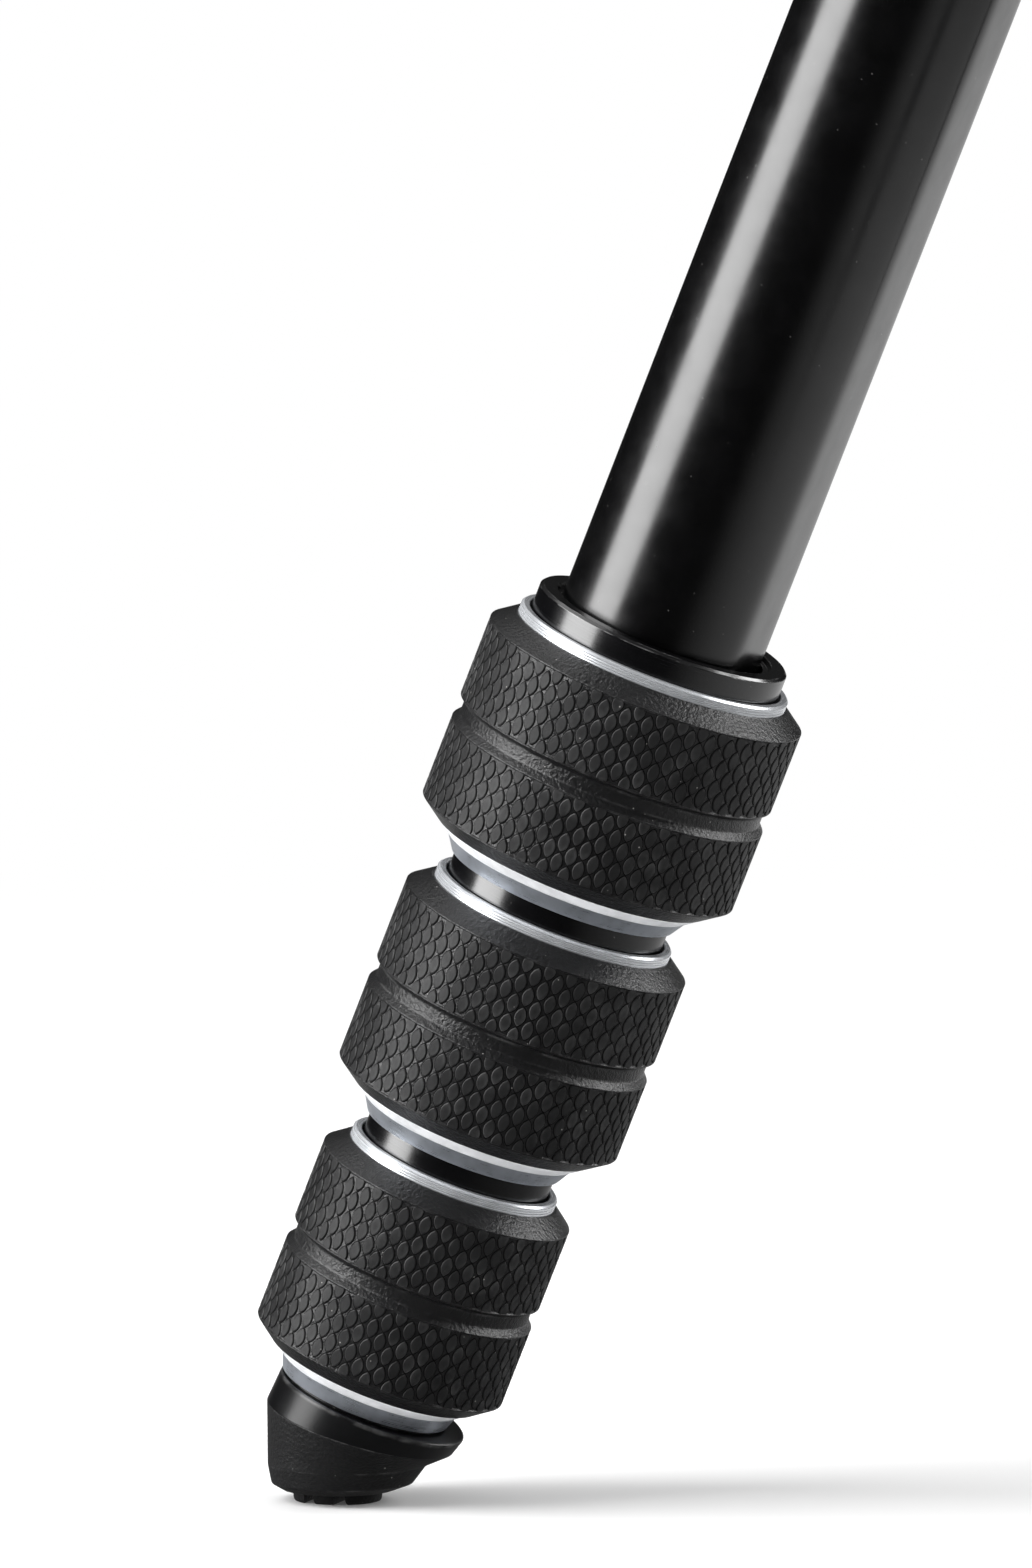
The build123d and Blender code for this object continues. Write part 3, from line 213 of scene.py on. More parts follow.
def finish(name, colour, roughness, metal=0.0, ior=1.5, grain_scale=4000.0, grain_depth=0.0,
           rings=6000.0, ring_depth=0.0, cloud=0.1, rub=0.3, rub_colour=(0.3, 0.3, 0.3),
           specks=0.3, speck_scale=700.0, coat=0.0, coat_roughness=0.15):
    """A finish whose colour, roughness and relief come from the shared effects.

    Depths are in metres. Roughness is its plain value plus the cloud's and the rings' share, and more
    in creases and where dust lies. The colour goes towards the rubbed colour on worn edges, pales under
    specks and is darkened in creases as painted shade.
    """
    material = bpy.data.materials.new(name)
    material.use_nodes = True
    tree = material.node_tree
    shader = tree.nodes["Principled BSDF"]
    shader.inputs["Metallic"].default_value = metal
    shader.inputs["IOR"].default_value = ior
    shader.inputs["Coat Weight"].default_value = coat
    shader.inputs["Coat Roughness"].default_value = coat_roughness

    def effect(group, **values):
        node = tree.nodes.new("ShaderNodeGroup")
        node.node_tree = group
        for socket, value in values.items():
            node.inputs[socket.replace("_", " ")].default_value = value
        return node.outputs

    skin = effect(grain, Scale=grain_scale)
    turned_marks = effect(lathe_rings, Lines_per_metre=rings)["Height"]
    edges = effect(rubbed_edges_and_painted_shade, Amount=rub)
    speck_mask = effect(dust, Scale=speck_scale, Amount=specks)["Mask"]

    clouded = tree.nodes.new("ShaderNodeMix")
    clouded.data_type = "RGBA"
    clouded.inputs["A"].default_value = (*[c * (1 - cloud) for c in colour], 1)
    clouded.inputs["B"].default_value = (*[min(1, c * (1 + cloud)) for c in colour], 1)
    tree.links.new(ramp(tree, skin["Cloud"], 0.35, 0.65), clouded.inputs["Factor"])
    paler = clouded.outputs["Result"]
    # the last mix darkens creases to near black: painted shade
    for mask, tint in (
        (edges["Mask"], rub_colour), (speck_mask, SPECK_COLOUR), (edges["Painted crease shade"], PAINTED_CREASE_SHADE_COLOUR),
    ):
        mixed = tree.nodes.new("ShaderNodeMix")
        mixed.data_type = "RGBA"
        tree.links.new(mask, mixed.inputs["Factor"])
        tree.links.new(paler, mixed.inputs["A"])
        mixed.inputs["B"].default_value = (*tint, 1)
        paler = mixed.outputs["Result"]
    tree.links.new(paler, shader.inputs["Base Color"])

    uneven = maths(tree, "MULTIPLY_ADD", skin["Cloud"], CLOUD_ROUGHNESS, roughness - CLOUD_ROUGHNESS / 2)
    if ring_depth:
        centred = maths(tree, "ADD", uneven, -RING_ROUGHNESS / 2)
        uneven = maths(tree, "MULTIPLY_ADD", turned_marks, RING_ROUGHNESS, centred)
    uneven = maths(tree, "MULTIPLY_ADD", edges["Painted crease shade"], 1.0 - roughness, uneven)
    uneven = maths(tree, "MULTIPLY_ADD", speck_mask, SPECK_ROUGHNESS, uneven)
    tree.links.new(uneven, shader.inputs["Roughness"])

    height = maths(tree, "MULTIPLY", skin["Height"], grain_depth)
    if ring_depth:
        height = maths(tree, "MULTIPLY_ADD", turned_marks, ring_depth, height)
    relief = tree.nodes.new("ShaderNodeBump")
    relief.inputs["Distance"].default_value = 1.0
    tree.links.new(height, relief.inputs["Height"])
    tree.links.new(relief.outputs["Normal"], shader.inputs["Normal"])
    return material


# %% The tripod's finishes
tube_black = finish("satin black anodising", (0.001, 0.001, 0.0012), 0.23, ior=1.68, grain_scale=9000,
                    grain_depth=2.5e-7, rub=0.25, specks=0.15, speck_scale=760, cloud=0.2)
collar_black = finish("gloss black anodising", (0.0015, 0.0015, 0.002), 0.2, ior=1.75, grain_depth=3e-7,
                      rings=7000, ring_depth=2.5e-6, rub=0.5, specks=0.15)
turned_silver = finish("turned aluminium", (0.72, 0.74, 0.77), 0.27, metal=0.6, grain_depth=3e-7,
                       rings=5200, ring_depth=5e-6, rub=0.3, rub_colour=(0.9, 0.9, 0.92), specks=0.1,
                       cloud=0.06)
cone_silver = finish("smooth aluminium", (0.46, 0.49, 0.54), 0.32, metal=0.8, grain_scale=14000,
                     grain_depth=3e-7, rings=7000, ring_depth=1.0e-6, rub=0.4,
                     rub_colour=(0.9, 0.9, 0.92), specks=0.1, cloud=0.08)
blasted_silver = finish("blasted aluminium", (0.78, 0.79, 0.81), 0.7, metal=0.22, grain_scale=9000,
                        grain_depth=4e-6, rub=0.3, rub_colour=(0.95, 0.95, 0.96), specks=0.1, cloud=0.1)
grip_rubber = finish("grip rubber", (0.008, 0.008, 0.0085), 0.32, ior=1.52, grain_scale=2300,
                     grain_depth=1.6e-4, rub=0.3, rub_colour=(0.10, 0.10, 0.10), specks=0.8,
                     speck_scale=1100, cloud=0.15)
scale_rubber = finish("scale rubber", (0.012, 0.012, 0.0125), 0.5, ior=1.38, grain_scale=5000,
                      grain_depth=2.5e-5, rub=0.7, rub_colour=(0.11, 0.11, 0.11), specks=0.7,
                      speck_scale=900, cloud=0.2)
sole_rubber = finish("sole rubber", (0.007, 0.007, 0.0075), 0.5, ior=1.42, grain_scale=2600,
                     grain_depth=1.2e-4, rub=0.3, rub_colour=(0.1, 0.1, 0.1), specks=1.0,
                     speck_scale=1000, cloud=0.2)
boot_rubber = finish("smooth boot rubber", (0.003, 0.003, 0.0035), 0.3, ior=1.42, grain_scale=3000,
                     grain_depth=5e-6, rub=0.2, specks=0.4, speck_scale=500, cloud=0.2)
casting_paint = finish("painted casting", (0.010, 0.010, 0.011), 0.4, ior=1.5, grain_scale=3200,
                       grain_depth=4e-6, rub=0.5, specks=0.35, coat=0.3)
head_black = finish("satin black machined", (0.007, 0.007, 0.008), 0.28, ior=1.7, grain_depth=4e-7,
                    rings=5000, ring_depth=1.5e-6, rub=0.5, specks=0.25)
plain_steel = finish("plain steel", (0.56, 0.55, 0.53), 0.28, metal=1.0, grain_depth=5e-7, rings=5000,
                     ring_depth=1.5e-6, rub=0.2, rub_colour=(0.8, 0.8, 0.8), specks=0.1)
ball_silver = finish("polished ball", (0.75, 0.76, 0.78), 0.16, metal=1.0, grain_depth=2e-7,
                     rings=9000, ring_depth=4e-7, rub=0.1, specks=0.1)
moulded_plastic = finish("moulded black plastic", (0.02, 0.02, 0.02), 0.5, ior=1.46,
                         grain_scale=6000, grain_depth=2e-6, rub=0.2, specks=0.2)

# %% [markdown]
# ## How the new pieces are made
# Turned pieces are an outline carried round an axis. The outline's corners are softened first, because
# no real edge is sharp and the softened edge is what catches the light. All points come from whole
# arrays, and one function turns a grid of points into a closed mesh with its own UV map.

# %% Outlines with softened corners
MM = 0.001
CORNER_STEPS = np.linspace(0.0, 1.0, 5)


def soften(corners, radii, closed=True):
    """An outline with each corner turned into a short curve.

    A corner C becomes (1-t)^2 A + 2t(1-t) C + t^2 B, where A and B lie on its two sides, at the
    radius times the tangent of half the turn. One more point on each side, a quarter further out,
    keeps the shading of the flats flat. The corners may be 2-D or 3-D points, or whole rings of them.
    The second result is 1 on the curves and 0 on the flats.
    """
    corners = np.asarray(corners, float)
    radii = np.broadcast_to(np.asarray(radii, float), len(corners))
    shape = (len(corners),) + (1,) * (corners.ndim - 1)
    to_before = np.roll(corners, 1, axis=0) - corners
    to_after = np.roll(corners, -1, axis=0) - corners
    before = np.linalg.norm(to_before, axis=-1, keepdims=True)
    after = np.linalg.norm(to_after, axis=-1, keepdims=True)
    to_before, to_after = to_before / np.maximum(before, 1e-9), to_after / np.maximum(after, 1e-9)
    bend = np.clip((to_before * to_after).sum(axis=-1, keepdims=True), -1, 1)
    reach = radii.reshape(shape) * np.tan((pi - np.arccos(bend)) / 2)
    reach = np.minimum(reach, 0.38 * np.minimum(before, after))
    steps = CORNER_STEPS.reshape((1, -1) + (1,) * (corners.ndim - 1))
    first = (corners + to_before * reach)[:, None]
    middle = corners[:, None]
    last = (corners + to_after * reach)[:, None]
    curve = (1 - steps) ** 2 * first + 2 * steps * (1 - steps) * middle + steps ** 2 * last
    outline = np.concatenate([
        (corners + to_before * reach * 1.25)[:, None],
        curve,
        (corners + to_after * reach * 1.25)[:, None],
    ], axis=1)
    worn = np.tile([0.0, 0.4, 1.0, 1.0, 1.0, 0.4, 0.0], (len(corners), 1))
    if not closed:
        outline[0], outline[-1] = corners[:1], corners[-1:]
        keep = np.ones(outline.shape[:2], bool)
        keep[0, 1:] = False
        keep[-1, 1:] = False
        return outline[keep], worn[keep] * (keep.sum(axis=1) > 1).repeat(keep.sum(axis=1))
    return outline.reshape((-1,) + corners.shape[1:]), worn.reshape(-1)


# %% A grid of points as a closed mesh
def grid_shape(grid, edge, capped=False):
    """Points, faces, UVs and edge values of a surface made from rows of points round an axis.

    Each point joins its neighbours in the row and in the next row by a quad, and a row closes on
    itself. The rows close on themselves too, or, when capped, end in a fan round a middle point.
    UVs are metres: round the row, and along the rows down the first column.
    """
    rows, columns = grid.shape[:2]
    index = np.arange(rows * columns).reshape(rows, columns)
    right = np.roll(index, -1, axis=1)
    below = np.roll(index, -1, axis=0)
    below_right = np.roll(right, -1, axis=0)
    quads = np.stack([index, below, below_right, right], axis=-1)
    radius = np.linalg.norm(grid - grid.mean(axis=1, keepdims=True), axis=-1).mean()
    u = np.arange(columns + 1) * 2 * pi * radius / columns
    steps = np.linalg.norm(np.diff(grid[:, 0], axis=0, append=grid[:1, 0]), axis=-1)
    v = np.concatenate([[0.0], np.cumsum(steps)])
    left, top, next_u, next_v = (
        np.broadcast_to(part, (rows, columns)) for part in (u[:-1], v[:-1, None], u[1:], v[1:, None])
    )
    uv = np.stack([
        np.stack([left, top], -1), np.stack([left, next_v], -1),
        np.stack([next_u, next_v], -1), np.stack([next_u, top], -1),
    ], axis=2)
    if capped:
        quads, uv = quads[:-1], uv[:-1]
    points = grid.reshape(-1, 3)
    faces = quads.reshape(-1, 4).tolist()
    uv = uv.reshape(-1, 2)
    edge = np.broadcast_to(np.asarray(edge, float).reshape(rows, -1), (rows, columns)).reshape(-1)
    if capped:
        first, last = len(points), len(points) + 1
        points = np.concatenate([points, grid[:1].mean(axis=1), grid[-1:].mean(axis=1)])
        edge = np.concatenate([edge, [0.0, 0.0]])
        faces += np.stack([np.full(columns, first), index[0], right[0]], -1).tolist()
        faces += np.stack([np.full(columns, last), right[-1], index[-1]], -1).tolist()
        fan = np.zeros((columns, 3, 2))
        fan[:, 1:, 1] = radius
        uv = np.concatenate([uv, fan.reshape(-1, 2), fan.reshape(-1, 2)])
    return points, faces, uv, edge


def joined(*shapes):
    """Several shapes as one, their faces counted on from each other's points."""
    starts = np.cumsum([0] + [len(s[0]) for s in shapes])
    faces = [[i + start for i in face] for s, start in zip(shapes, starts) for face in s[1]]
    points, uv, edge = (np.concatenate([s[part] for s in shapes]) for part in (0, 2, 3))
    return points, faces, uv, edge


def turned(outline, edge, count=144):
    """An outline of (radius, height) carried round: x = r cos a, y = r sin a, z = height."""
    angle = np.arange(count) * 2 * pi / count
    radius, height = outline[:, :1], outline[:, 1:]
    grid = np.broadcast_arrays(radius * np.cos(angle), radius * np.sin(angle), height)
    return grid_shape(np.stack(grid, axis=-1), edge)


def turned_ring(corners, radii, count=144):
    """A closed outline in millimetres, softened and carried round the vertical, in metres."""
    outline, edge = soften(np.asarray(corners, float) * MM, np.asarray(radii, float) * MM)
    return turned(outline, edge, count)


# %% Putting a shape in the place of a CAD node
def add_piece(name, shape, node, material, axes=np.eye(3), origin=(0.0, 0.0, 0.0), sharp=50):
    """A mesh object from a shape, set in the given axes, that stands for a CAD node and rides with it.

    A point p goes to origin + p . axes. If the signed volume comes out negative, the faces are
    turned over, so that they always point outwards. Edges that bend by more than sharp degrees stay
    crisp.
    """
    points, faces, uv, edge = shape
    points = points @ np.asarray(axes) + np.asarray(origin)
    corner = np.array([face[:3] for face in faces])
    third = np.array([face[2:4] if len(face) == 4 else face[2:3] * 2 for face in faces])
    first, second, next_one = points[corner[:, 0]], points[corner[:, 1]], points[corner[:, 2]]
    volume = np.einsum("ij,ij->", first, np.cross(second, next_one))
    volume += np.einsum("ij,ij->", first, np.cross(points[third[:, 0]], points[third[:, 1]]))
    mesh = bpy.data.meshes.new(name)
    mesh.from_pydata(points, [], faces)
    mesh.uv_layers.new(name="UVMap").data.foreach_set("uv", uv.astype(np.float32).ravel())
    mesh.attributes.new("edge", "FLOAT", "POINT").data.foreach_set("value", edge.astype(np.float32))
    if volume < 0:
        mesh.flip_normals()
    mesh.shade_smooth()
    mesh.set_sharp_from_angle(angle=radians(sharp))
    mesh.materials.append(material)
    piece = bpy.data.objects.new(name, mesh)
    bpy.context.scene.collection.objects.link(piece)
    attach(piece, frame["nodes"][node]["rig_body"])
    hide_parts(node)
    return piece


def leg_axes(leg):
    """A leg's own frame: rows are away from the column, along the hinge, and up the leg, and its origin.

    Up is against the way its sections slide out, and the hinge line is the joint's axis turned round.
    """
    up = -np.array(joints[f"leg_{leg}_extend_1"]["axis"])
    hinge = -np.array(joints[f"leg_{leg}_hinge"]["axis"])
    return np.stack([np.cross(hinge, up), hinge, up]), np.array(joints[f"leg_{leg}_hinge"]["pos_m"])


def on_every_leg(name, shape, node, material, sharp=50):
    """The same shape on the three legs."""
    for leg in LEGS:
        axes, origin = leg_axes(leg)
        add_piece(f"leg_{leg}_{name}", shape, f"leg_{leg}_{node}", material, axes, origin, sharp)
    print(f"{name}: {len(shape[1])} faces on each leg")


# %% [markdown]
# ## Leg tubes
# Each tube is drawn aluminium, round with one flat that stops the section inside it from turning. It
# could be cut from a cylinder, but a formula is cleaner: at every angle the wall stands at the smaller
# of the circle's radius and the flat's distance, and a soft minimum rounds the two long edges.

# %% The four leg tubes
TUBE_RADII = (11.25, 9.2, 7.35, 5.65)
TUBE_WALL = 1.2
FLAT_SHARE = cos(radians(26.0))  # distance of the flat, as a share of the radius
LOCK_STATIONS = (274.2, 303.8, 333.4)  # top edge of each rubber grip, down the leg from the hinge
TUBE_TOPS = (20.0, 21.5, 23.0, 24.5)
TUBE_BOTTOMS = (288.2, 317.8, 347.4, 366.0)
EDGE_SOFTNESS = 0.3


def flatted_wall(radius, inset, angle):
    """Distance from the axis to a flatted wall that lies inset from the outside.

    It is the soft minimum of the circle, R - inset, and the flat, (d - inset) / -cos(angle), which is
    -k log(exp(-circle/k) + exp(-flat/k)) with k as the softness of the edge.
    """
    circle = radius - inset
    toward_flat = np.maximum(-np.cos(angle), 0.05)
    flat = (radius * FLAT_SHARE - inset) / toward_flat
    return circle - EDGE_SOFTNESS * np.log1p(np.exp(np.minimum((circle - flat) / EDGE_SOFTNESS, 60.0)))


def flatted_pipe(radius, outer_inset, inner_inset, top, bottom, count=160):
    """A pipe with one flat. Its outline runs in (inset, height), and the inset turns into a radius."""
    corners = [(outer_inset, top), (outer_inset, bottom), (inner_inset, bottom), (inner_inset, top)]
    outline, edge = soften(corners, 0.25)
    angle = np.arange(count) * 2 * pi / count
    wall = flatted_wall(radius, outline[:, :1], angle)
    height = np.broadcast_to(outline[:, 1:], wall.shape)
    grid = np.stack([wall * np.cos(angle), wall * np.sin(angle), height], axis=-1) * MM
    return grid_shape(grid, edge)


for number, radius in enumerate(TUBE_RADII):
    pipe = flatted_pipe(radius, 0.0, TUBE_WALL, -TUBE_TOPS[number], -TUBE_BOTTOMS[number])
    on_every_leg(f"tube_{number + 1}_pipe", pipe, f"tube_{number + 1}", tube_black)

# %% [markdown]
# ## Collars, bushes and collets
# The black collar on the end of each tube is turned and dyed glossy: its flange shows above the lock.
# Inside the leg a plastic bush guides each section, and a split sleeve is what the lock squeezes.

# %% Collars
FLANGE_RADII = (13.85, 12.05, 10.4)
FLANGE_RISE = 3.75
BARREL_STEP = 0.85
BARREL_LENGTH = 21.7


def collar_shape(number):
    """The collar's half section: bore, top face with a stepped lip, flange, and threaded barrel."""
    bore, flange, top = TUBE_RADII[number], FLANGE_RADII[number], FLANGE_RISE - LOCK_STATIONS[number]
    shoulder, bottom = top - FLANGE_RISE - 0.3, top - FLANGE_RISE - BARREL_LENGTH
    barrel = flange - BARREL_STEP
    corners = [
        (bore, top - 0.55), (bore + 0.55, top - 0.55), (bore + 0.75, top), (flange - 0.3, top),
        (flange, top - 0.3), (flange, shoulder), (barrel, shoulder), (barrel, bottom), (bore, bottom),
    ]
    return turned_ring(corners, [0.1, 0.1, 0.12, 0.15, 0.15, 0.15, 0.1, 0.3, 0.2])


for number in range(3):
    on_every_leg(f"collar_{number + 1}", collar_shape(number), f"tube_{number + 1}", collar_black)

# %% Bushes at the tops of the inner tubes, and the split sleeves
BUSH_LENGTH = 14.0
SLEEVE_DROP = 14.3  # from the grip's top edge down to the sleeve
SLEEVE_LENGTH = 7.3
HALF_SLIT = 0.6
FIT = 0.15


def sleeve_shape(number):
    """A split sleeve: its outline in (radius, height) is carried round all but the slit."""
    top = -SLEEVE_DROP - LOCK_STATIONS[number]
    bottom = top - SLEEVE_LENGTH
    inner, outer = TUBE_RADII[number + 1] + FIT, TUBE_RADII[number] - FIT
    outline, _ = soften([(outer, top), (outer, bottom), (inner, bottom), (inner, top)], 0.15)
    slit = HALF_SLIT / outer
    angle = np.linspace(slit, 2 * pi - slit, 72)[:, None]
    grid = np.stack(np.broadcast_arrays(
        outline[:, 0] * np.cos(angle), outline[:, 0] * np.sin(angle), outline[:, 1]), axis=-1) * MM
    return grid_shape(grid, np.zeros(len(angle)), capped=True)


for number in range(3):
    bush = flatted_pipe(TUBE_RADII[number], TUBE_WALL + FIT,
                        TUBE_RADII[number] - TUBE_RADII[number + 1], -TUBE_TOPS[number + 1],
                        -TUBE_TOPS[number + 1] - BUSH_LENGTH, 96)
    on_every_leg(f"bush_{number + 2}", bush, f"tube_{number + 2}", moulded_plastic)
    on_every_leg(f"sleeve_{number + 1}", sleeve_shape(number), f"tube_{number + 1}", moulded_plastic)

# %% [markdown]
# ## Twist locks
# Each lock is an aluminium nut with a rubber grip moulded round it. The nut shows as a thin ring with
# turned lines above the rubber and as a two-faced cone below it.

# %% The bright nuts
GRIP_RADII = (17.5, 15.75, 13.9)
GRIP_LENGTH = 23.5
CHAMFER_DROP = 1.7
CHAMFER_INSET = 2.3
NECK_RADII = (12.05, 10.4, 8.9)  # what comes out of the bottom of each lock
CONE_LENGTH = 2.9
BAND_LENGTH = 1.2  # of the blasted band at the cone's upper end
RING_OVERLAP = 1.15  # of the nut's top ring over the collar's flange
LINE_STEP = 0.055  # depth of the turned lines on the ring


def nut_shape(number):
    """The nut's body, its top ring with shallow turned lines, and the blasted band over its cone."""
    top, flange = -LOCK_STATIONS[number], FLANGE_RADII[number]
    mouth, ring = flange + 0.25, flange + RING_OVERLAP
    cone = GRIP_RADII[number] - CHAMFER_INSET
    opening, bore = NECK_RADII[number] + 0.25, TUBE_RADII[number + 1] + 0.3
    bottom = top - GRIP_LENGTH - CONE_LENGTH
    thread = flange - BARREL_STEP + 0.15
    lines = [(ring - LINE_STEP * (i % 2), top + 0.85 - 0.14 * i) for i in range(7)]
    grip_end = top - GRIP_LENGTH
    waist = grip_end - BAND_LENGTH
    ring_corners = [(mouth, top + 1.1), (ring - 0.25, top + 1.1)] + lines
    ring_corners += [(ring, top - 0.6), (mouth, top - 0.6)]
    band_corners = [
        (cone - 2.4, grip_end), (cone, grip_end), (cone - 1.6, waist), (cone - 2.4, waist),
    ]
    corners = [
        (ring, top - 0.55), (ring, grip_end + 1.0), (cone - 1.8, grip_end + 0.5),
        (cone - 1.8, waist - 0.02), (cone - 1.62, waist - 0.02), (opening + 0.2, bottom),
        (opening, bottom), (opening, bottom + 0.85), (bore, bottom + 0.85), (bore, bottom + 4.35),
        (thread, bottom + 4.35), (thread, top - 0.55),
    ]
    return (
        turned_ring(corners, [0.1, 0.1, 0.1, 0.02, 0.02, 0.1, 0.08, 0.1, 0.1, 0.2, 0.2, 0.1]),
        turned_ring(ring_corners, [0.12, 0.12] + [0.04] * 7 + [0.1, 0.1]),
        turned_ring(band_corners, [0.05, 0.1, 0.08, 0.05]),
    )


for number in range(3):
    nut_body, nut_ring, nut_band = nut_shape(number)
    on_every_leg(f"nut_{number + 1}_body", nut_body, f"lock_nut_{number + 1}", cone_silver)
    on_every_leg(f"nut_{number + 1}_ring", nut_ring, f"lock_nut_{number + 1}", turned_silver)
    on_every_leg(f"nut_{number + 1}_band", nut_band, f"lock_nut_{number + 1}", blasted_silver)

# %% [markdown]
# ## The scaled rubber
# The grips carry rows of almond-shaped scales, a little proud of the rubber, with the points up and
# down the leg. A displaced grid fine enough for their crisp rims would need millions of faces, so each
# scale is a small island of its own that stands on the band. All scales of a band are one array.

# %% One almond scale, and a band covered with them
SCALE_WIDTH = 1.22
SCALE_HEIGHT = 2.08
SCALE_DROP = 2.27  # from one scale to the next below it
SCALE_COUNTS = (45, 40, 35)
GROOVE_SINK = 0.15  # by which the band between the scales lies lower
RIM_POINTS = 14
RING_SHARES = np.array([1.14, 1.03, 0.97, 0.86])  # of the almond's size, from its skirt to its crown
RING_LEVELS = np.array([0.004, 0.004, 0.09, 0.145])  # above the band between the scales, millimetres
RING_RUB_AND_PAINTED_SHADE = np.array([-0.7, -1.0, 0.6, 0.3])  # painted shade in a dark crease round the foot, a rubbed rim


def almond_rim():
    """The rim of an almond: height sin t, width cos t |cos t|^0.45, so both ends come to a blunt point."""
    t = np.arange(RIM_POINTS) * 2 * pi / RIM_POINTS + pi / 2
    return 0.5 * SCALE_WIDTH * np.cos(t) * np.abs(np.cos(t)) ** 0.45, 0.5 * SCALE_HEIGHT * np.sin(t)


def scaled_band(radius, top, bottom, around):
    """Scales on a cylinder between two heights, in columns, every other one half a drop lower.

    Each scale is four rings and a fan: a flat skirt coloured dark as painted shade of the groove round
    it, a steep side, a bevel and a flat crown. A point's place round the axis is its column's angle plus
    its width over the radius. Heights are held inside the band, so that scales at its edges are cut off.
    """
    columns = np.arange(2 * around)
    rows = np.arange(-1, int((top - bottom) / SCALE_DROP) + 2)
    centre_angle = (columns * pi / around)[:, None] + 0 * rows
    centre_height = bottom + 0.35 + rows * SCALE_DROP + (columns % 2)[:, None] * SCALE_DROP / 2
    inside = (centre_height > bottom - 0.3 * SCALE_HEIGHT) & (centre_height < top + 0.3 * SCALE_HEIGHT)
    centre_angle, centre_height = centre_angle[inside], centre_height[inside]
    width, height = almond_rim()
    shares = RING_SHARES[:, None]
    across = (shares * width)[None] + 0 * centre_angle[:, None, None]
    along = centre_height[:, None, None] + shares * height
    margin = 0.12 + 0.25 * np.maximum(1 - shares, 0.0)
    along = np.clip(along, bottom + margin, top - margin)
    out = radius - GROOVE_SINK + RING_LEVELS[:, None] + 0 * across
    angle = centre_angle[:, None, None] + across / radius
    rings = np.stack([out * np.cos(angle), out * np.sin(angle), along + 0 * out], axis=-1)
    crown = rings[:, -1].mean(axis=1, keepdims=True)
    points = np.concatenate([rings.reshape(len(rings), -1, 3), crown], axis=1)
    per_scale = points.shape[1]
    index = np.arange(len(RING_SHARES) * RIM_POINTS).reshape(-1, RIM_POINTS)
    right = np.roll(index, -1, axis=1)
    sides = np.stack([index[:-1], right[:-1], right[1:], index[1:]], -1).reshape(-1, 4)
    fan = np.stack([index[-1], right[-1], np.full(RIM_POINTS, per_scale - 1)], -1)
    starts = np.arange(len(points)) * per_scale
    faces = (starts[:, None, None] + sides).reshape(-1, 4).tolist()
    faces += (starts[:, None, None] + fan).reshape(-1, 3).tolist()
    flat_points = points.reshape(-1, 3) * MM
    # the negative values on the skirt and foot rings are painted shade, the positive ones a rubbed rim
    edge = np.tile(np.concatenate([np.repeat(RING_RUB_AND_PAINTED_SHADE, RIM_POINTS), [0.0]]), len(points))
    corners = np.concatenate([np.array(f) for f in faces])
    around_axis = np.arctan2(flat_points[:, 1], flat_points[:, 0]) * radius * MM
    uv = np.stack([around_axis, flat_points[:, 2]], -1)[corners]
    return flat_points, faces, uv, edge


# %% The rubber grips
GROOVE_START = 10.5
GROOVE_LENGTH = 2.6
GROOVE_DEPTH = 0.65


def grip_shapes(number):
    """The turned rubber body, whose two bands lie a little lower, and the scales that fill them."""
    top, radius, core = -LOCK_STATIONS[number], GRIP_RADII[number], FLANGE_RADII[number] + RING_OVERLAP
    shoulder = max(radius - CHAMFER_INSET, core + 0.2)
    bottom, groove_top = top - GRIP_LENGTH, top - GROOVE_START
    groove_bottom = groove_top - GROOVE_LENGTH
    low, lip = radius - GROOVE_SINK, 0.2
    upper_top, lower_bottom = top - CHAMFER_DROP, bottom + CHAMFER_DROP
    corners = [
        (core, top), (shoulder, top), (radius, upper_top), (radius, upper_top - 0.1),
        (low, upper_top - lip), (low, groove_top + lip), (radius, groove_top + 0.1), (radius, groove_top),
        (radius - GROOVE_DEPTH, groove_top - 0.45), (radius - GROOVE_DEPTH, groove_bottom + 0.75),
        (radius, groove_bottom), (radius, groove_bottom - 0.1),
        (low, groove_bottom - lip), (low, lower_bottom + lip), (radius, lower_bottom + 0.1),
        (radius, lower_bottom), (shoulder, bottom), (core, bottom),
    ]
    upper_radii = [0.1, 0.35, 0.3, 0.05, 0.1, 0.1, 0.05, 0.15, 0.35]
    radii = upper_radii + [0.35, 0.15, 0.05, 0.1, 0.1, 0.05, 0.3, 0.35, 0.1]
    around = SCALE_COUNTS[number]
    scales = joined(
        scaled_band(radius, upper_top, groove_top, around),
        scaled_band(radius, groove_bottom, lower_bottom, around),
    )
    return turned_ring(corners, radii), scales


for number in range(3):
    body, scales = grip_shapes(number)
    on_every_leg(f"grip_{number + 1}_rubber", body, f"grip_{number + 1}", grip_rubber)
    on_every_leg(f"grip_{number + 1}_scales", scales, f"grip_{number + 1}", scale_rubber, 25)

# %% The column's lock ring, in the same rubber with a single band
COLUMN_GRIP_RADIUS = 20.5
COLUMN_GRIP_CORE = 18.0
COLUMN_GRIP_TOP = -81.0
COLUMN_GRIP_BOTTOM = -95.0
COLUMN_GRIP_CHAMFER = 1.2
COLUMN_SCALE_COUNT = 52

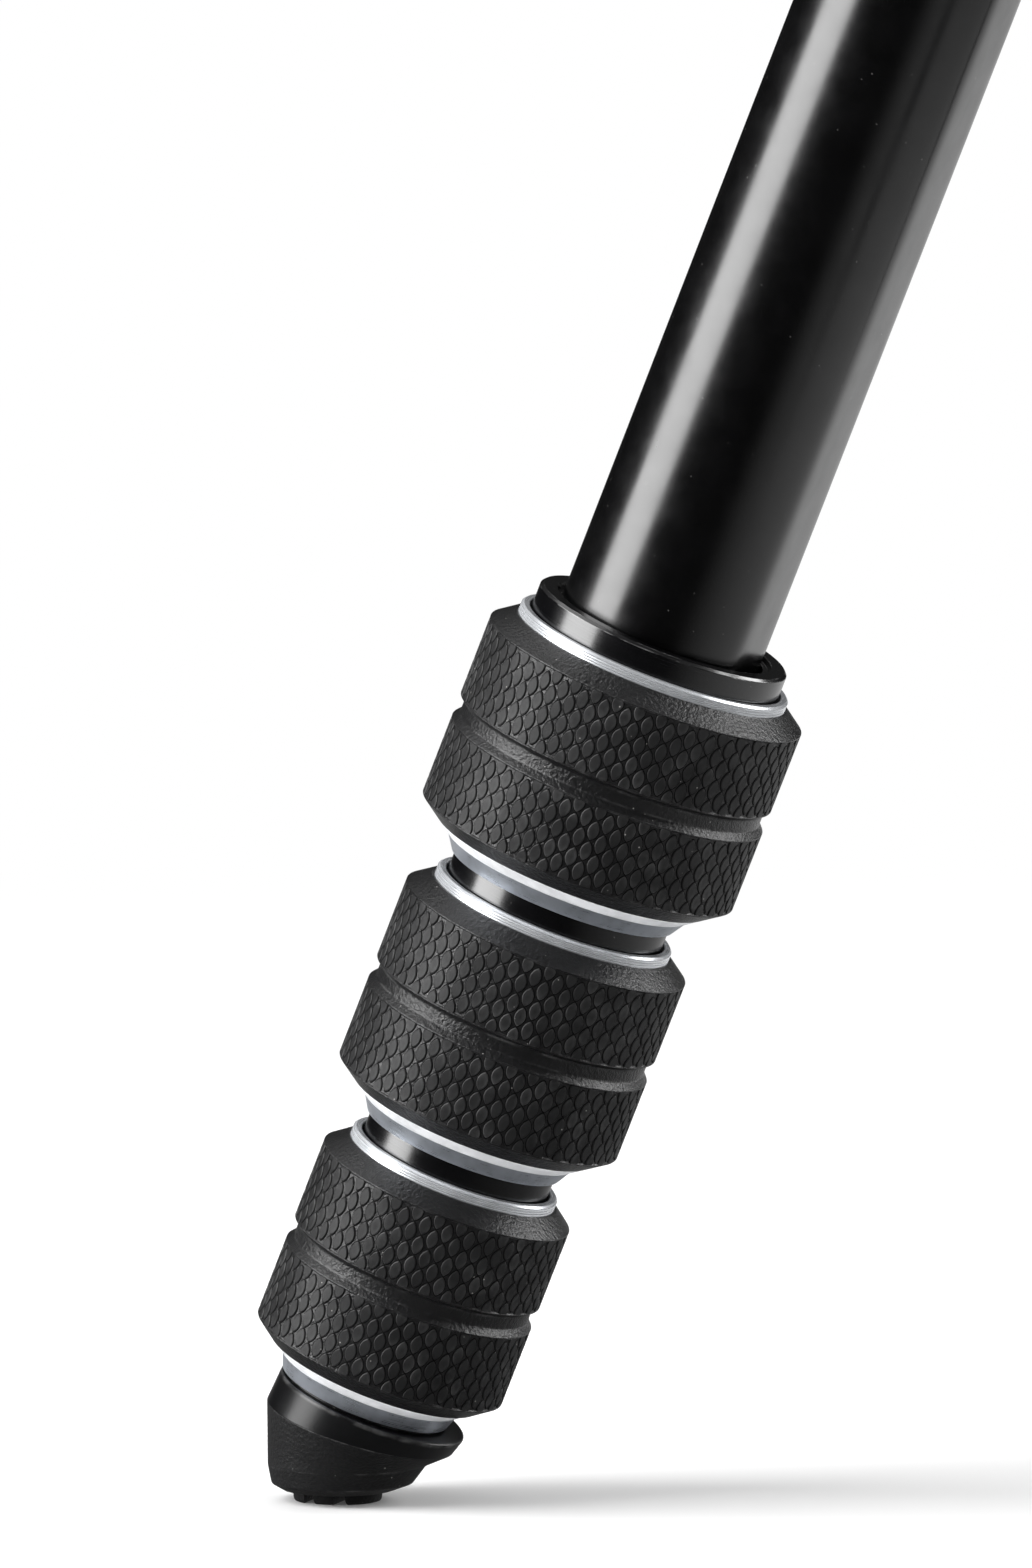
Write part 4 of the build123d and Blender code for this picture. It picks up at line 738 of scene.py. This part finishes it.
band_top = COLUMN_GRIP_TOP - COLUMN_GRIP_CHAMFER
band_bottom = COLUMN_GRIP_BOTTOM + COLUMN_GRIP_CHAMFER
shoulder, low = COLUMN_GRIP_RADIUS - COLUMN_GRIP_CHAMFER, COLUMN_GRIP_RADIUS - GROOVE_SINK
column_grip = turned_ring([
    (COLUMN_GRIP_CORE, COLUMN_GRIP_TOP), (shoulder, COLUMN_GRIP_TOP), (COLUMN_GRIP_RADIUS, band_top),
    (low, band_top - 0.15), (low, band_bottom + 0.15), (COLUMN_GRIP_RADIUS, band_bottom),
    (shoulder, COLUMN_GRIP_BOTTOM), (COLUMN_GRIP_CORE, COLUMN_GRIP_BOTTOM),
], [0.1, 0.3, 0.05, 0.05, 0.05, 0.05, 0.3, 0.1])
add_piece("column_lock_grip_rubber", column_grip, "column_lock_grip", grip_rubber)
column_scales = scaled_band(COLUMN_GRIP_RADIUS, band_top, band_bottom, COLUMN_SCALE_COUNT)
add_piece("column_lock_grip_scales", column_scales, "column_lock_grip", scale_rubber, sharp=25)
print("column lock scales:", len(column_scales[1]), "faces")

# %% [markdown]
# ## The rubber foot
# The foot is fuller towards the column and its pad lies flat on the floor while the leg leans. It is
# a boot: smooth and glossy above a rim, dull and grainy below. The form is a stack of rings, each a
# circle in its own tilted plane, joined by straight walls whose corners are softened as on an outline.

# %% The foot's rings
LEG_LENGTH = 372.0
LEAN = radians(22.0)
FOOT_COLUMNS = 128
LOCK_BOTTOM = LOCK_STATIONS[-1] + GRIP_LENGTH + CONE_LENGTH
RIM_RADIUS = 10.3
RIM_HEIGHT = 9.0
RIM_OFFSET = 0.7
RIM_TILT = radians(5.0)
NECK_TOP = 0.85 - 0.3 - LOCK_BOTTOM  # as far inside the lock as the shoulder stands below it
SHOULDER_TOP = -0.3 - LOCK_BOTTOM
PAD_RADIUS = 4.7
PAD_OFFSET = 1.5
TREAD_CUTS = ((-4.66, -2.35), (-1.05, 1.05), (2.35, 4.66))
TREAD_RINGS = ((1.08, 2.0), (1.03, 0.5), (0.98, 0.15), (0.9, 0.0))  # share of the size, rise


def tilted_ring(radius, offset, height, tilt):
    """A circle of points in a plane tilted towards the column, its centre shifted along that plane."""
    angle = np.arange(FOOT_COLUMNS) * 2 * pi / FOOT_COLUMNS
    along, across = radius * np.cos(angle) + offset, radius * np.sin(angle)
    return np.stack([along * cos(tilt), across, height - along * sin(tilt)], axis=-1)


def on_floor(radius, offset, rise):
    """A ring that lies level, at a rise above the floor under a standing leg."""
    ring = tilted_ring(radius, offset, 0.0, LEAN)
    return ring + np.array([sin(LEAN) * rise, 0.0, cos(LEAN) * rise - LEG_LENGTH])


def foot_shape(upper):
    """The boot above its rim, or the sole below it, as a capped stack of rings."""
    rim = tilted_ring(RIM_RADIUS, -RIM_OFFSET / cos(RIM_TILT), RIM_HEIGHT - LEG_LENGTH, RIM_TILT)
    rim[:, 2] -= RIM_OFFSET * sin(RIM_TILT)
    if upper:
        rings = np.stack([
            tilted_ring(TUBE_RADII[-1], 0.0, NECK_TOP, 0.0),
            tilted_ring(NECK_RADII[-1], 0.0, NECK_TOP, 0.0),
            tilted_ring(NECK_RADII[-1], 0.0, SHOULDER_TOP, 0.0),
            tilted_ring(10.45, -1.15, SHOULDER_TOP, 0.0),
            rim,
            rim * np.array([0.94, 0.94, 1.0]) + np.array([0.0, 0.0, -0.25]),
        ])
        radii = [0.1, 0.2, 0.1, 0.35, 0.1, 0.1]
    else:
        rings = np.stack([
            rim * np.array([0.97, 0.97, 1.0]) + np.array([0.0, 0.0, 0.1]),
            rim,
            on_floor(8.5, -2.6, 3.9),
            on_floor(7.55, -2.0, 1.9),
            on_floor(5.9, -1.6, 1.15),
            on_floor(4.0, -1.5, 1.1),
        ])
        radii = [0.1, 0.35, 1.2, 0.5, 0.5, 0.1]
    rings, edge = soften(rings * MM, np.array(radii) * MM, closed=False)
    return grid_shape(rings, np.asarray(edge)[:, None] * np.ones(FOOT_COLUMNS), capped=True)


def tread_block(start, end):
    """One slice of the round pad between two straight cuts, from inside the sole down to the floor.

    Its outline is x from start to end with y = sqrt(R^2 - x^2) out and back. Four rings of it make the
    block, each with a share of its size and a rise above the floor.
    """
    x = np.linspace(start, end, 15)
    y = np.sqrt(np.maximum(PAD_RADIUS ** 2 - x ** 2, 0.04))
    outline = np.concatenate([np.stack([x, -y], -1), np.stack([x, y], -1)[::-1]])
    middle = outline.mean(axis=0)
    rings = []
    for share, rise in TREAD_RINGS:
        flat = middle + (outline - middle) * share
        along = flat[:, 0] - PAD_OFFSET
        rings.append(np.stack([
            along * cos(LEAN) + sin(LEAN) * rise, flat[:, 1],
            -along * sin(LEAN) + cos(LEAN) * rise - LEG_LENGTH], axis=-1))
    return grid_shape(np.stack(rings) * MM, np.zeros(len(rings)), capped=True)


on_every_leg("foot_boot", foot_shape(True), "foot", boot_rubber)
on_every_leg("foot_sole", foot_shape(False), "foot", sole_rubber)
treads = [tread_block(*cut) for cut in TREAD_CUTS]
on_every_leg("foot_treads", joined(*treads), "foot", sole_rubber)

# %% [markdown]
# ## The pieces that keep their CAD shape
# The castings, the crown, the head and the clamp are milled or cast blocks. Their CAD solids have the
# right form and only miss the soft edges that catch light. Each is copied, its loose triangles merged
# into flat faces, and a narrow bevel put on its edges.

# %% Bevelled copies
CRISP_ANGLE = radians(32)  # edges that bend by more than this are real ones


def dressed(node, material, width=0.3):
    """A merged copy of a CAD node with a bevel of the given width, in millimetres, on its edges."""
    name = f"{node}_finished"
    mesh = frame["nodes"][node].data.copy()
    mesh.name = name
    if "custom_normal" in mesh.attributes:
        mesh.attributes.remove(mesh.attributes["custom_normal"])
    shell = bmesh.new()
    shell.from_mesh(mesh)
    bmesh.ops.remove_doubles(shell, verts=shell.verts, dist=2e-6)
    bmesh.ops.dissolve_limit(shell, angle_limit=radians(0.6), verts=shell.verts, edges=shell.edges)
    shell.to_mesh(mesh)
    shell.free()
    mesh.materials.clear()
    mesh.materials.append(material)
    mesh.shade_smooth()
    mesh.set_sharp_from_angle(angle=CRISP_ANGLE)
    piece = bpy.data.objects.new(name, mesh)
    bpy.context.scene.collection.objects.link(piece)
    if width:
        bevel = piece.modifiers.new("soft edges", "BEVEL")
        bevel.width = width * MM
        bevel.segments = 2
        bevel.limit_method = "ANGLE"
        bevel.angle_limit = CRISP_ANGLE
        bevel.harden_normals = True
    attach(piece, frame["nodes"][node]["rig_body"])
    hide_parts(node)
    return piece


for leg in LEGS:
    dressed(f"leg_{leg}_casting", casting_paint, 0.5)
    dressed(f"leg_{leg}_angle_tab", cone_silver, 0.25)
for node, width in (("crown", 0.5), ("column_end_plug", 0.2)):
    dressed(node, casting_paint, width)
for node in ("head_base", "ball_housing", "clamp_base", "clamp_jaw", "quick_plate", "column_tube"):
    dressed(node, head_black, 0.3)
for node in ("ball_lock_knob", "pan_lock_knob", "clamp_knob"):
    dressed(node, head_black, 0.15)
for node in ("leg_pivot_bolts", "head_stud", "camera_screw"):
    dressed(node, plain_steel, 0.15)
dressed("weight_ring", plain_steel, 0)
dressed("ball_stem", ball_silver, 0.2)
dressed("plate_pad", sole_rubber, 0.2)
for node in ("column_bush", "ball_cup"):
    dressed(node, moulded_plastic, 0.15)
dressed("column_lock_nut", turned_silver, 0.3)

# %% [markdown]
# ## Floor, light and surroundings
# The photograph was taken on a white sweep with one long soft box on the left, which draws the bright
# stripe down the tube, and weaker light from behind on the right and from above. The white background
# is only what the camera, glass and metal see; it puts no extra light on the tripod.

# %% The floor
FLOOR_HEIGHT = -0.45371
FLOOR_HALF = 8.0
FLOOR_LIFT = 0.05  # by which camera and glass see the paper a little brighter than it is lit
floor_mesh = bpy.data.meshes.new("white floor")
floor_mesh.from_pydata([
    (-FLOOR_HALF, -FLOOR_HALF, FLOOR_HEIGHT), (FLOOR_HALF, -FLOOR_HALF, FLOOR_HEIGHT),
    (FLOOR_HALF, FLOOR_HALF, FLOOR_HEIGHT), (-FLOOR_HALF, FLOOR_HALF, FLOOR_HEIGHT),
], [], [(0, 1, 2, 3)])
floor = bpy.data.objects.new("white_floor", floor_mesh)
bpy.context.scene.collection.objects.link(floor)

floor_paper = bpy.data.materials.new("white floor paper")
floor_paper.use_nodes = True
tree = floor_paper.node_tree
tree.nodes.clear()
paper = tree.nodes.new("ShaderNodeBsdfDiffuse")
paper.inputs["Color"].default_value = (0.8, 0.8, 0.8, 1)
lift = tree.nodes.new("ShaderNodeEmission")
plain_white = tree.nodes.new("ShaderNodeEmission")
rays = tree.nodes.new("ShaderNodeLightPath")
seen = maths(tree, "MAXIMUM", rays.outputs["Is Camera Ray"], rays.outputs["Is Transmission Ray"])
tree.links.new(maths(tree, "MULTIPLY", seen, FLOOR_LIFT), lift.inputs["Strength"])
lit_paper = tree.nodes.new("ShaderNodeAddShader")
tree.links.new(paper.outputs[0], lit_paper.inputs[0])
tree.links.new(lift.outputs[0], lit_paper.inputs[1])
spread = tree.nodes.new("ShaderNodeVectorMath")
spread.operation = "LENGTH"
tree.links.new(tree.nodes.new("ShaderNodeTexCoord").outputs["Object"], spread.inputs[0])
faded = maths(tree, "MULTIPLY", ramp(tree, spread.outputs["Value"], 0.5, 0.9), seen)
ground = tree.nodes.new("ShaderNodeMixShader")
tree.links.new(faded, ground.inputs["Fac"])
tree.links.new(lit_paper.outputs[0], ground.inputs[1])
tree.links.new(plain_white.outputs[0], ground.inputs[2])
# painted reflection: gloss and metal see the floor glow white behind the leg's end and to its right, and
# dark in front of it, whatever light falls there
depth = tree.nodes.new("ShaderNodeSeparateXYZ")
tree.links.new(tree.nodes.new("ShaderNodeTexCoord").outputs["Object"], depth.inputs[0])
painted_reflection_glow = tree.nodes.new("ShaderNodeEmission")
near = maths(tree, "MULTIPLY_ADD", ramp(tree, spread.outputs["Value"], 0.3, 1.2), -0.8, 1.0)
backwards = ramp(tree, depth.outputs["Y"], -0.12, 0.3)
behind = maths(tree, "MULTIPLY", backwards, maths(tree, "MULTIPLY", near, 0.62))
rightwards = maths(tree, "MULTIPLY_ADD", depth.outputs["X"], 2.0, depth.outputs["Y"])
short = maths(tree, "MULTIPLY_ADD", ramp(tree, depth.outputs["X"], 0.0, 0.36), -0.9, 1.0)
to_the_right = ramp(tree, rightwards, -0.30, 0.25)
beside = maths(tree, "MULTIPLY", to_the_right, maths(tree, "MULTIPLY", short, 0.85))
bright = maths(tree, "MAXIMUM", behind, beside)
# the strength of this painted reflection glow
tree.links.new(maths(tree, "MULTIPLY_ADD", bright, 0.97, 0.02), painted_reflection_glow.inputs["Strength"])
floor_look = tree.nodes.new("ShaderNodeMixShader")
tree.links.new(rays.outputs["Is Glossy Ray"], floor_look.inputs["Fac"])
tree.links.new(ground.outputs[0], floor_look.inputs[1])
tree.links.new(painted_reflection_glow.outputs[0], floor_look.inputs[2])
tree.links.new(floor_look.outputs[0], tree.nodes.new("ShaderNodeOutputMaterial").inputs["Surface"])
floor_mesh.materials.append(floor_paper)
print("floor:", 2 * FLOOR_HALF, "m wide, at", FLOOR_HEIGHT)

# %% The surroundings
# Camera and glass see plain white. Metal and gloss see a dark room that pales towards the ceiling.
# All other light is an even grey fill.
ROOM_DARK = 0.012
CEILING = 0.16
FILL = 0.42
world = bpy.data.worlds.new("studio")
bpy.context.scene.world = world
world.use_nodes = True
tree = world.node_tree
tree.nodes.clear()
way = tree.nodes.new("ShaderNodeSeparateXYZ")
tree.links.new(tree.nodes.new("ShaderNodeTexCoord").outputs["Generated"], way.inputs[0])
rays = tree.nodes.new("ShaderNodeLightPath")
room = maths(tree, "MULTIPLY_ADD", ramp(tree, way.outputs["Z"], 0.15, 0.85), CEILING, ROOM_DARK - FILL)
glossy = maths(tree, "MULTIPLY", rays.outputs["Is Glossy Ray"], room)
clear = maths(tree, "MAXIMUM", rays.outputs["Is Camera Ray"], rays.outputs["Is Transmission Ray"])
strength = maths(tree, "ADD", maths(tree, "MULTIPLY_ADD", clear, 1 - FILL, FILL), glossy)
studio = tree.nodes.new("ShaderNodeBackground")
studio.inputs["Color"].default_value = (1, 1, 1, 1)
tree.links.new(strength, studio.inputs["Strength"])
tree.links.new(studio.outputs[0], tree.nodes.new("ShaderNodeOutputWorld").inputs["Surface"])
world.cycles.sampling_method = "NONE"
print("surroundings: fill", FILL, "and ceiling", CEILING)

# %% The soft boxes
LEG_END = Vector((-0.135, 0.0, -0.38))


def soft_box(name, direction, distance, width, height, radiance, lengthways):
    """An area light that faces the leg's end from a direction, its long side along a given way.

    Its power is radiance times area times pi.
    """
    data = bpy.data.lights.new(name, "AREA")
    data.shape = "RECTANGLE"
    data.size, data.size_y = width, height
    data.energy = radiance * width * height * pi
    light = bpy.data.objects.new(name, data)
    toward = Vector(direction).normalized()
    sideways = Vector(lengthways).cross(toward).normalized()
    upright = toward.cross(sideways)
    light.location = LEG_END + toward * distance
    light.rotation_mode = "QUATERNION"
    light.rotation_quaternion = Matrix((sideways, upright, toward)).transposed().to_quaternion()
    light.visible_camera = False
    bpy.context.scene.collection.objects.link(light)
    print(f"{name}: {width} by {height} m, {data.energy:.1f} W")


ALONG_LEG = (0.375, 0.0, 0.927)
soft_box("left soft box", (-0.79, -0.55, 0.48), 1.5, 1.05, 1.75, 8.0, ALONG_LEG)
soft_box("right soft box", (0.76, 0.52, 0.42), 1.6, 0.7, 1.1, 9.0, ALONG_LEG)
soft_box("top soft box", (-0.30, 0.10, 0.95), 1.6, 0.8, 1.2, 1.6, (0, 1, 0))
